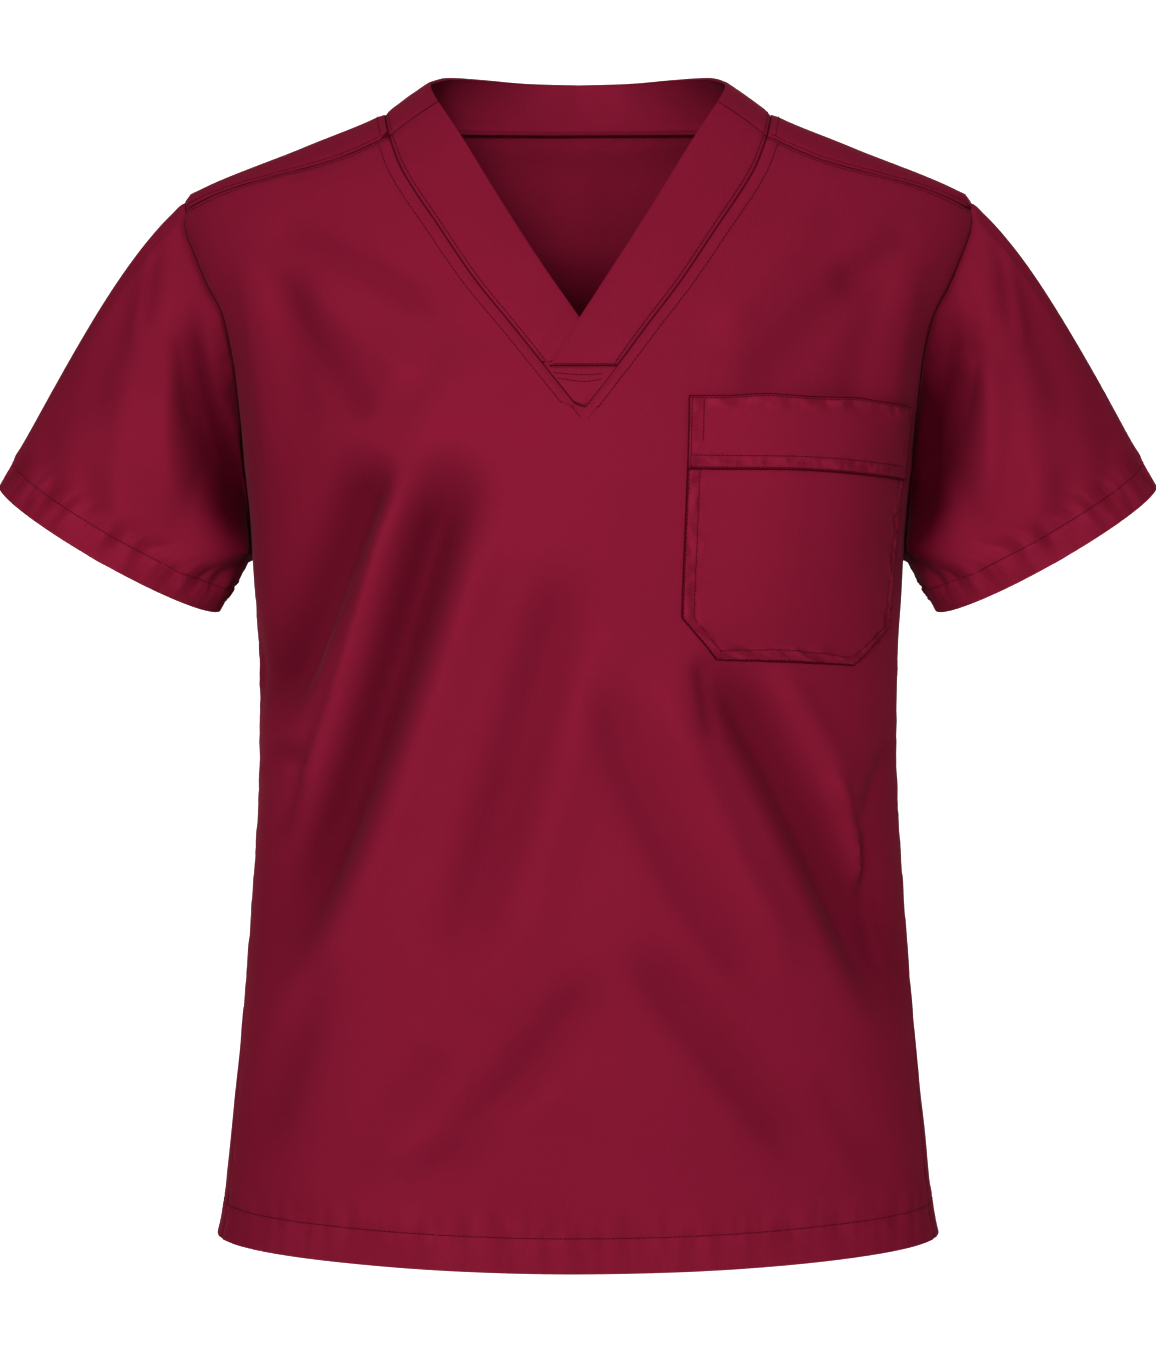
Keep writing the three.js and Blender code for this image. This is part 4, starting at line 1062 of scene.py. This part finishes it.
sleeve = {
    "centre": (290, -268.5),
    "halfWidth": 78.5,
    "halfDepth": 50,
    "up": (0.864, 0.503),
    "down": (0.503, -0.864),
    "frontDrop": 9,
    "backRise": 3,
    "hem": 17.5,
    "capLeave": (0.76, -0.65),
    "underarmLeave": (0.06, -1),
    "sideLeave": 0.55,
    "leave": 0.8,
    "arrive": 0.9,
    "clear": 1.4,
    "partZ": -272,
    "partSlope": 0.62,
    "halfRing": 64,
    "rows": 90,
    # the edge under the panels: how far in, how deep
    "underFar": (4.5, 1.5),
    "underNear": (1.2, 1.1),
    # painted shade beside the body by the armpit: how strong on each side, and how wide
    "armpitShade": {1: 1.9, -1: 1.5},
    "armpitWidth": 19,
}


def sleeveGrid(side):
    mirror = [side, 1, 1] * 3
    front = grids[("armholeFront", side)] * mirror
    back = grids[("armholeBack", side)] * mirror
    half = sleeve["halfRing"]
    over = back[::-1]
    ridge = int(np.argmax(over[:, 2]))
    up = resample(np.concatenate([front, over[1 : ridge + 1]]), half + 1)
    down = resample(over[ridge:], half + 1)
    ring = np.concatenate([up, down[1:]])
    into, out = ring[:, 3:6], ring[:, 6:]
    ring = ring[:, :3]
    edges = (sleeve["underFar"], sleeve["underNear"])
    under = np.stack([ring + into * inward - out * deep for inward, deep in edges]) * [side, 1, 1]
    turn = np.linspace(0, 1, 2 * half + 1)
    angle = math.pi * (1 - 2 * turn)
    high, forward = np.cos(angle), np.sin(angle)
    drop = np.where(forward > 0, sleeve["frontDrop"], sleeve["backRise"]) * forward
    endX = sleeve["centre"][0] + high * sleeve["halfWidth"] * sleeve["up"][0] + drop * sleeve["down"][0]
    endZ = sleeve["centre"][1] + high * sleeve["halfWidth"] * sleeve["up"][1] + drop * sleeve["down"][1]
    end = np.stack([endX, -forward * sleeve["halfDepth"], endZ], -1)
    share = (1 + high) / 2
    leave = np.stack(
        [
            mix(sleeve["underarmLeave"][0], sleeve["capLeave"][0], share),
            -sleeve["sideLeave"] * forward,
            mix(sleeve["underarmLeave"][1], sleeve["capLeave"][1], share),
        ],
        -1,
    )
    leave = unit(leave)
    chord = np.linalg.norm(end - ring, axis=1, keepdims=True)
    arrive = np.array([sleeve["down"][0], 0, sleeve["down"][1]]) * chord * sleeve["arrive"]
    leave = leave * chord * sleeve["leave"]
    t = spaced(sleeve["rows"], 190, 0.35, (0, 1))[:, None, None]
    grid = (2 * t**3 - 3 * t**2 + 1) * ring + (t**3 - 2 * t**2 + t) * leave
    grid = grid + (3 * t**2 - 2 * t**3) * end + (t**3 - t**2) * arrive
    facing = smooth(0.1, 0.6, np.abs(forward))
    folded = foldHeight(sleeveFolds + sleeveOwn[side], grid[..., 0], grid[..., 2])
    folded = folded * facing[None, :] * smooth(0.06, 0.42, t[..., 0])
    folded += 0.8 * ripple(grid[..., 0], grid[..., 2] + 300 * side, 9) * smooth(0.05, 0.3, t[..., 0])
    grid[..., 1] -= np.sign(forward)[None, :] * folded
    deepest = np.where(grid[..., 1] > 0, section("back", grid[..., 2]), section("front", grid[..., 2]))
    power = section("square", grid[..., 2])
    ratio = np.clip(np.abs(grid[..., 1]) / deepest, 0, 1)
    lowest = section("half", grid[..., 2]) * (1 - ratio**power) ** (1 / power) + sleeve["clear"]
    grid[..., 0] += np.maximum(0, lowest - grid[..., 0]) * smooth(0, 0.09, t[..., 0])
    beside = lowest + 0.4 + np.maximum(0, sleeve["partZ"] - grid[..., 2]) * sleeve["partSlope"]
    upper = smooth(-0.45, -0.8, high)[None, :] * smooth(-290, -270, grid[..., 2])
    lower = smooth(-0.88, -0.985, high)[None, :] * smooth(1, 0.85, t[..., 0])
    pulled = np.maximum(upper, lower) * smooth(0.02, 0.12, t[..., 0])
    grid[..., 0] = mix(grid[..., 0], np.minimum(grid[..., 0], beside), pulled)
    grid[..., 0] *= side
    return grid, under


def buildSleeve(side):
    name = "sleeve_left" if side > 0 else "sleeve_right"
    grid, under = sleeveGrid(side)
    flip = side > 0
    u, v = spans(grid)
    fromCuff = v[-1:] - v
    cuffLine = fromCuff - sleeve["hem"]
    normals = gridNormals(grid, flip)
    lift = seamRoll(v, 0.7)
    lift += 0.8 * smooth(0, 6, v) * pucker(u, 51, 15.0) * bump(v, 7, 8)
    lift += -0.5 * bump(cuffLine, 0, 1.6)
    lift += 1.1 * pucker(u + 0.5 * v, 52, 9.0) * bump(cuffLine, 3, 9)
    lift += 0.9 * pucker(u, 53, 7.0) * bump(fromCuff, 9, 6)
    lift[:, 0] = lift[:, -1] = (lift[:, 0] + lift[:, -1]) / 2
    grid = grid + normals * lift[..., None]
    grid[:, -1] = grid[:, 0]
    cloth = Cloth()
    paintedShade = troughShadeOf(sleeveFolds + sleeveOwn[side], grid * [side, 1, 1])
    # Painted shade on the sleeve beside the body, strongest low down by the armpit
    fromBody = np.abs(grid[..., 0]) - section("half", grid[..., 2])
    armpitShadeStrength = sleeve["armpitShade"][side] * smooth(-110, -225, grid[..., 2])
    armpitPaintedShade = armpitShadeStrength * bump(fromBody, 0, sleeve["armpitWidth"])
    gather = 0.85 * bump(cuffLine, 4, 9) + 0.4 * smooth(20, 14, fromCuff)
    cloth.add(grid, flip, v, tuck=[("bottom", under)], paintedShade=paintedShade + armpitPaintedShade, gather=gather)

    def wall(points):
        down = (np.abs(points[:, 0]) - sleeve["centre"][0]) * sleeve["down"][0]
        down = down + (points[:, 2] - sleeve["centre"][1]) * sleeve["down"][1]
        drop = np.where(points[:, 1] < 0, sleeve["frontDrop"], sleeve["backRise"])
        edge = -points[:, 1] / sleeve["halfDepth"] * drop
        turned = smooth(edge - sleeve["hem"] - 1.5, edge - sleeve["hem"] + 0.5, down)
        return clothWall + turnedHem * turned

    width, length = u[-1, -1] / 1000, v[-1].max() / 1000
    stitch(lineOf(grid, "top", sleeve["hem"], flip), seed=54)
    cloth.build(name, wall, clothSkin, (max(width, u[0, -1] / 1000), length))


# Neckband, from the back centre to its shoulder seam: seam edge, then free edge
bandFree = {
    "seam": [(0, 80, 2), (40, 75, 2), (77.8, 60.5, 1.5), (107.6, 34, 0), (118.7, 0, 0),
             (118.5, -20, -2.5), (117, -38, -10), (114.2, -53.4, -22)],
    "free": [(0, 84, 35), (33, 79, 35), (62, 60, 34), (82, 33, 30), (91, 5, 22.5),
             (91, -15, 16.5), (88.5, -32, 8.5), (84.5, -46, 0)],
}
overBand = {
    "seam": [(104.8, -46), (83, -80.6), (60.7, -114.5), (40, -141.5), (30, -155), (21.4, -166.4)],
    "free": [(70, -24), (50, -58), (30, -91), (12, -119), (-3, -142), (-18.6, -166.4)],
}
underBand = {
    "seam": [(104.8, -46), (83, -80.6), (60.7, -114.5), (40, -141.5), (31, -153.2), (21.4, -166.4)],
    "free": [(70, -24), (50, -58), (30, -91), (12, -119), (0, -137), (-8, -150)],
}
lap = {"from": (0.3, -137.4), "to": (-18.4, -166.3), "deep": 2.6, "reach": 14}


def onFront(x, z):
    x, z = np.asarray(x, float), np.asarray(z, float)
    left = bodyPoints(1, wayOf(np.abs(x), z, False), z)
    right = bodyPoints(-1, wayOf(np.abs(x), z, False), z)
    return np.where((x < 0)[..., None], right, left)


def lineShares(points):
    run = np.r_[0, np.cumsum(np.linalg.norm(np.diff(points, axis=0), axis=1))]
    return run / run[-1]


def bandGrid(seamEdge, seamTable, freeTable, rows=22):
    places = lineShares(seamTable)
    wanted = lineShares(seamEdge)
    free = np.stack([curve(places, freeTable[:, k], wanted) for k in range(3)], -1)
    t = spaced(rows, 36, 0.5, (0, 1))[:, None, None]
    grid = seamEdge[None] * (1 - t) + free[None] * t
    away = unit(seamEdge * [1, 1, 0])
    return grid + away[None] * 1.2 * np.sin(math.pi * t)


def finishBand(name, grid, flip, length, seed, endSeam, press=False):
    u, v = spans(grid)
    fromFree = v[-1:] - v
    lift = seamRoll(v, 0.5, 1.8) - 0.35 * bump(fromFree, 0, 0.9)
    lift += 0.14 * pucker(u, seed, 12.0) * bump(v, 7, 6)
    lift += 0.16 * pucker(u, seed + 1, 31.0)
    grid = grid + gridNormals(grid, flip) * lift[..., None]
    if press:
        spanX, spanZ = lap["to"][0] - lap["from"][0], lap["to"][1] - lap["from"][1]
        size = math.hypot(spanX, spanZ)
        offX, offZ = grid[..., 0] - lap["from"][0], grid[..., 2] - lap["from"][1]
        across = (offX * -spanZ + offZ * spanX) / size
        grid[..., 1] += lap["deep"] * smooth(-lap["reach"], -0.5, across)
    ends = np.minimum(u, u[:, -1:] - u) if endSeam else u[:, -1:] - u
    cloth = Cloth()
    cloth.add(grid, flip, np.minimum(v, ends), v, u, [("bottom", None)])
    cloth.build(name, bandWall, bandSkin, (length / 1000, bandWide))
    return grid


bandEnd = -166.4
insetTop = -163.5


# An edge's point at a height, with the row above it; the edge runs upward
def heightPlace(edge, z):
    k = int(np.argmax(edge[:, 2] > z))
    t = (z - edge[k - 1, 2]) / (edge[k, 2] - edge[k - 1, 2])
    return k, mix(edge[k - 1], edge[k], t)[None]


def upTo(edge, z):
    k, point = heightPlace(edge, z)
    return np.concatenate([edge[:k], point])


def downTo(edge, z):
    k, point = heightPlace(edge, z)
    return np.concatenate([point, edge[k:]])


def buildBands():
    seamTurns = np.array(bandFree["seam"], float)
    freeTurns = np.array(bandFree["free"], float)
    halves = []
    for side in (1, -1):
        edge = resample(grids[("neckBack", side)], 81)
        halves.append(bandGrid(edge, seamTurns * [side, 1, 1], freeTurns * [side, 1, 1]))
    whole = np.concatenate([halves[0][:, ::-1], halves[1][:, 1:]], axis=1)
    length = spans(whole)[0][0, -1]
    whole = finishBand("neckband_back", whole, False, length, 61, True)
    stitch(lineOf(whole, "bottom", 2.5, False), seed=62)
    for name, table, side in (("neckband_left", overBand, 1), ("neckband_right", underBand, -1)):
        edge = grids[("neckFront", side)]
        edge = resample(downTo(edge, bandEnd)[::-1], 121)
        seam = onFront(side * np.array(table["seam"])[:, 0], np.array(table["seam"])[:, 1])
        free = onFront(side * np.array(table["free"])[:, 0], np.array(table["free"])[:, 1])
        seam = np.concatenate([seamTurns[-1:] * [side, 1, 1], seam])
        free = np.concatenate([freeTurns[-1:] * [side, 1, 1], free])
        grid = bandGrid(edge, seam, free)
        length = spans(grid)[0][-1, -1]
        flip = side > 0
        grid = finishBand(name, grid, flip, length, 63, True, press=side < 0)
        stitch(lineOf(grid, "bottom", 2.5, flip), seed=64)
        if side > 0:
            stitch(lineOf(grid, "right", 1.2, flip), seed=65)
    left, right = (upTo(grids[("neckFront", side)], insetTop) for side in (-1, 1))
    left, right = resample(left, 25), resample(right, 25)
    share = np.linspace(0, 1, 21)[None, :, None]
    grid = left[:, None] * (1 - share) + right[:, None] * share
    bulge = onFront(grid[..., 0] - vPoint[0], grid[..., 2])[..., 1]
    grid[..., 1] = mix(grid[..., 1], bulge, np.sin(math.pi * share[..., 0]))
    grid[..., 1] += 0.5 + 1.6 * smooth(bandEnd - 0.6, bandEnd + 0.4, grid[..., 2])
    u, v = spans(grid)
    cloth = Cloth()
    tuck = [("left", None), ("right", None), ("top", None)]
    cloth.add(grid, False, np.minimum(u, v[-1:] - v), tuck=tuck)
    cloth.build("v_inset", insetWall, bandSkin, insetFlat)
    for gap in (9.7, 13.8):
        stitch(lineOf(grid, "top", gap, False), skip=3, seed=66)


pocket = {
    "topLeft": (62.8, -184.4),
    "topRight": (199.3, -185.4),
    "lowLeft": (59.7, -314.2),
    "lowRight": (187, -319),
    "bottomLeft": (80.8, -338.6),
    "bottomRight": (163.5, -342),
    "bandDepth": 43.5,
    "off": 1.6,
    "swell": 8.2,
    "flat": (0.149, 0.16),
    "bandFlat": (0.149, 0.0445),
    "bandWall": 0.9,
    "bandOff": 1.5,
}


def pocketGrid(across, down, lift):
    turn = (pocket["topLeft"][1] - pocket["lowLeft"][1]) / (pocket["topLeft"][1] - pocket["bottomLeft"][1])
    ends = []
    for one in ("Left", "Right"):
        rows = np.array([pocket["top" + one], pocket["low" + one], pocket["bottom" + one]], float)
        ends.append([np.interp(down, [0, turn, 1], rows[:, k]) for k in (0, 1)])
    z = mix(ends[0][1][:, None], ends[1][1][:, None], across[None, :])
    wayLeft = wayOf(ends[0][0][:, None] + 0 * z, z, False)
    wayRight = wayOf(ends[1][0][:, None] + 0 * z, z, False)
    grid = bodyPoints(1, mix(wayLeft, wayRight, across[None, :]), z)
    out = gridNormals(grid, False)
    out = out * np.where(out[..., 1:2] > 0, -1, 1)
    fill = smooth(0, 0.45, np.minimum(across, 1 - across))[None, :]
    tall = mix(0.95, 1, smooth(0, 0.4, down)) * smooth(1, 0.55, down)
    return grid + out * (pocket["off"] + pocket["swell"] * fill * tall[:, None] + lift)[..., None]


def buildPocket():
    across = spaced(100, 150, 0.35, (0, 1))
    down = spaced(110, 158, 0.4, (0, 1))[::-1]
    grid = pocketGrid(across, down, np.zeros((len(down), len(across))))
    u, v = spans(grid)
    edge = np.minimum(np.minimum(u, u[:, -1:] - u), v)
    lift = -0.9 * bump(edge, 0, 1.2) - 0.3 * bump(edge, 8, 1.3)
    waves = pucker(u + v, 71, 8.0)
    lift += 0.95 * waves * bump(edge, 6, 6) + 0.6 * ripple(u, v, 73)
    grid = pocketGrid(across, down, lift)
    cloth = Cloth()
    cloth.add(grid, False, edge, gather=1.1 * bump(edge, 5, 5))
    cloth.build("pocket", clothWall, pocketSkin, pocket["flat"])
    for gap in (1.6, 8.0):
        body = grid[v[:, 0] > (gap if gap > 2 else 0)]
        for side in ("left", "right"):
            stitch(lineOf(body, side, gap, False), seed=74)
        stitch(lineOf(grid, "bottom", gap, False), skip=gap, seed=75)
    tall = pocket["bandDepth"] / (pocket["topLeft"][1] - pocket["bottomLeft"][1])
    bandDown = tall * (1 - spaced(30, 44, 0.5, (0, 1)))
    grid = pocketGrid(across, bandDown, np.full((len(bandDown), len(across)), pocket["bandOff"]))
    u, v = spans(grid)
    lift = -0.5 * bump(v, 0, 1.1) - 0.3 * bump(v[-1:] - v, 0, 1.1)
    lift += -0.3 * bump(v, 8, 1.2) + 0.3 * ripple(u, v, 78)
    lift += 0.6 * pucker(u, 77, 8.0) * bump(v, 5, 4)
    grid = pocketGrid(across, bandDown, pocket["bandOff"] + lift)
    cloth = Cloth()
    ends = np.minimum(np.minimum(u, u[:, -1:] - u), v[-1:] - v)
    gather = np.maximum(bump(v, 5, 4), bump(ends, 4, 4))
    cloth.add(grid, False, np.minimum(v, ends + 0.3), gather=gather)
    cloth.build("pocket_band", pocket["bandWall"], pocketSkin, pocket["bandFlat"])
    for edgeName, gap in (("bottom", 1.6), ("bottom", 8.5), ("top", 1.8)):
        stitch(lineOf(grid, edgeName, gap, False), skip=3, seed=79)
    for edgeName in ("left", "right"):
        stitch(lineOf(grid, edgeName, 2.0, False), seed=80)
        stitch(lineOf(grid[12:], edgeName, 9.0, False), seed=81)


def buildThreads(name, bits, skin):
    verts = np.concatenate(bits["points"]) / 1000
    faces = np.concatenate(bits["faces"])
    obj = makeMesh(name, verts, faces, skin)
    weaveLines(obj.data, verts[:, [0, 2]])
    keepValues(obj.data, "sewn", np.full(len(verts), 50))
    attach(obj, root)
    print(name, len(faces) * 2, "triangles")


buildFront()
print("front done")
buildBack()
print("back done")
buildSleeve(1)
buildSleeve(-1)
print("sleeves done")
buildBands()
buildPocket()
buildThreads("stitching", threads, threadSkin)
buildThreads("needle_hole_shades", holeShades, holeShadeSkin)
print("pieces done")

# Stage, light and camera

stageLook = {
    "floor": -1.05,
    "near": -5.0,
    "far": 5.5,
    "bend": 1.2,
    "tall": 6.0,
    "wide": 14.0,
    "white": 0.9,
    "glow": (0.5, 1.4),
    "world": 0.10,
}
# place, target, size, power, tint
lights = {
    "key": ((-0.45, -2.7, 0.35), (0, 0, -0.3), (0.9, 0.9), 68.0, (1, 0.985, 0.97)),
    "fill": ((1.7, -2.3, 0.2), (0, 0, -0.35), (1.4, 1.4), 8.0, (0.97, 0.985, 1)),
    "top": ((0.1, -0.4, 1.9), (0, 0, -0.2), (1.8, 1.2), 15.0, (1, 1, 1)),
}
# metres: how far in front and how high the camera stands, and the width it takes in there
cameraLook = {"away": 1.9, "height": -0.3506, "seen": 0.844, "sensor": 36}


def stageMaterial():
    maker = Maker("pale_stage")
    grain = maker.node("ShaderNodeTexNoise", {}, {"Scale": 3.0})
    shade = maker.blend(grain, (0.90, 0.90, 0.90, 1), (0.94, 0.94, 0.94, 1))
    place = maker.node("ShaderNodeTexCoord", out=3)
    split = maker.node("ShaderNodeSeparateXYZ", {}, [place], out=1)
    glow = maker.blend(split.ramp(*stageLook["glow"]), (0.0, 0.0, 0.0, 1), (1, 1, 1, 1))
    inputs = {"Base Color": shade, "Roughness": 0.9}
    inputs.update({"Emission Color": glow, "Emission Strength": stageLook["white"]})
    shader = maker.node("ShaderNodeBsdfPrincipled", {}, inputs)
    maker.tree.links.new(shader.socket, maker.output.inputs[0])
    return maker.material


def buildStage():
    near, far, bend, tall, wide = (stageLook[key] for key in ("near", "far", "bend", "tall", "wide"))
    profile = [(near, 0.0), (far - bend, 0.0)]
    for k in range(1, 13):
        angle = math.pi / 2 * k / 12
        profile.append((far - bend + bend * math.sin(angle), bend - bend * math.cos(angle)))
    profile.append((far, tall))
    verts, faces = [], []
    for x in (-wide / 2, wide / 2):
        verts += [(x, y, stageLook["floor"] + z) for y, z in profile]
    count = len(profile)
    for k in range(count - 1):
        faces.append([k, count + k, count + k + 1, k + 1])
    obj = makeMesh("pale_sweep", np.array(verts), np.array(faces), stageMaterial())


def addLight(name, place, target, size, power, tint):
    light = bpy.data.lights.new(name, "AREA")
    light.shape = "RECTANGLE"
    light.size, light.size_y = size
    light.energy = power
    light.color = tint
    obj = bpy.data.objects.new(name, light)
    bpy.context.scene.collection.objects.link(obj)
    obj.location = place
    away = np.array(place) - np.array(target)
    obj.rotation_euler = Vector(away).to_track_quat("Z", "Y").to_euler()
    return obj


def buildLight():
    for name, light in lights.items():
        addLight(name, *light)
    world = bpy.data.worlds.new("studio")
    bpy.context.scene.world = world
    world.use_nodes = True
    world.node_tree.nodes["Background"].inputs[0].default_value = (1, 1, 1, 1)
    world.node_tree.nodes["Background"].inputs[1].default_value = stageLook["world"]


def buildCamera():
    data = bpy.data.cameras.new("photo_view")
    obj = bpy.data.objects.new("photo_view", data)
    bpy.context.scene.collection.objects.link(obj)
    obj.location = (0, -cameraLook["away"], cameraLook["height"])
    obj.rotation_euler = (math.pi / 2, 0, 0)
    data.sensor_width = cameraLook["sensor"]
    data.lens = cameraLook["sensor"] * cameraLook["away"] / cameraLook["seen"]
    bpy.context.scene.camera = obj


buildStage()
buildLight()
buildCamera()
bpy.context.scene.view_settings.view_transform = "Standard"
print("stage done")
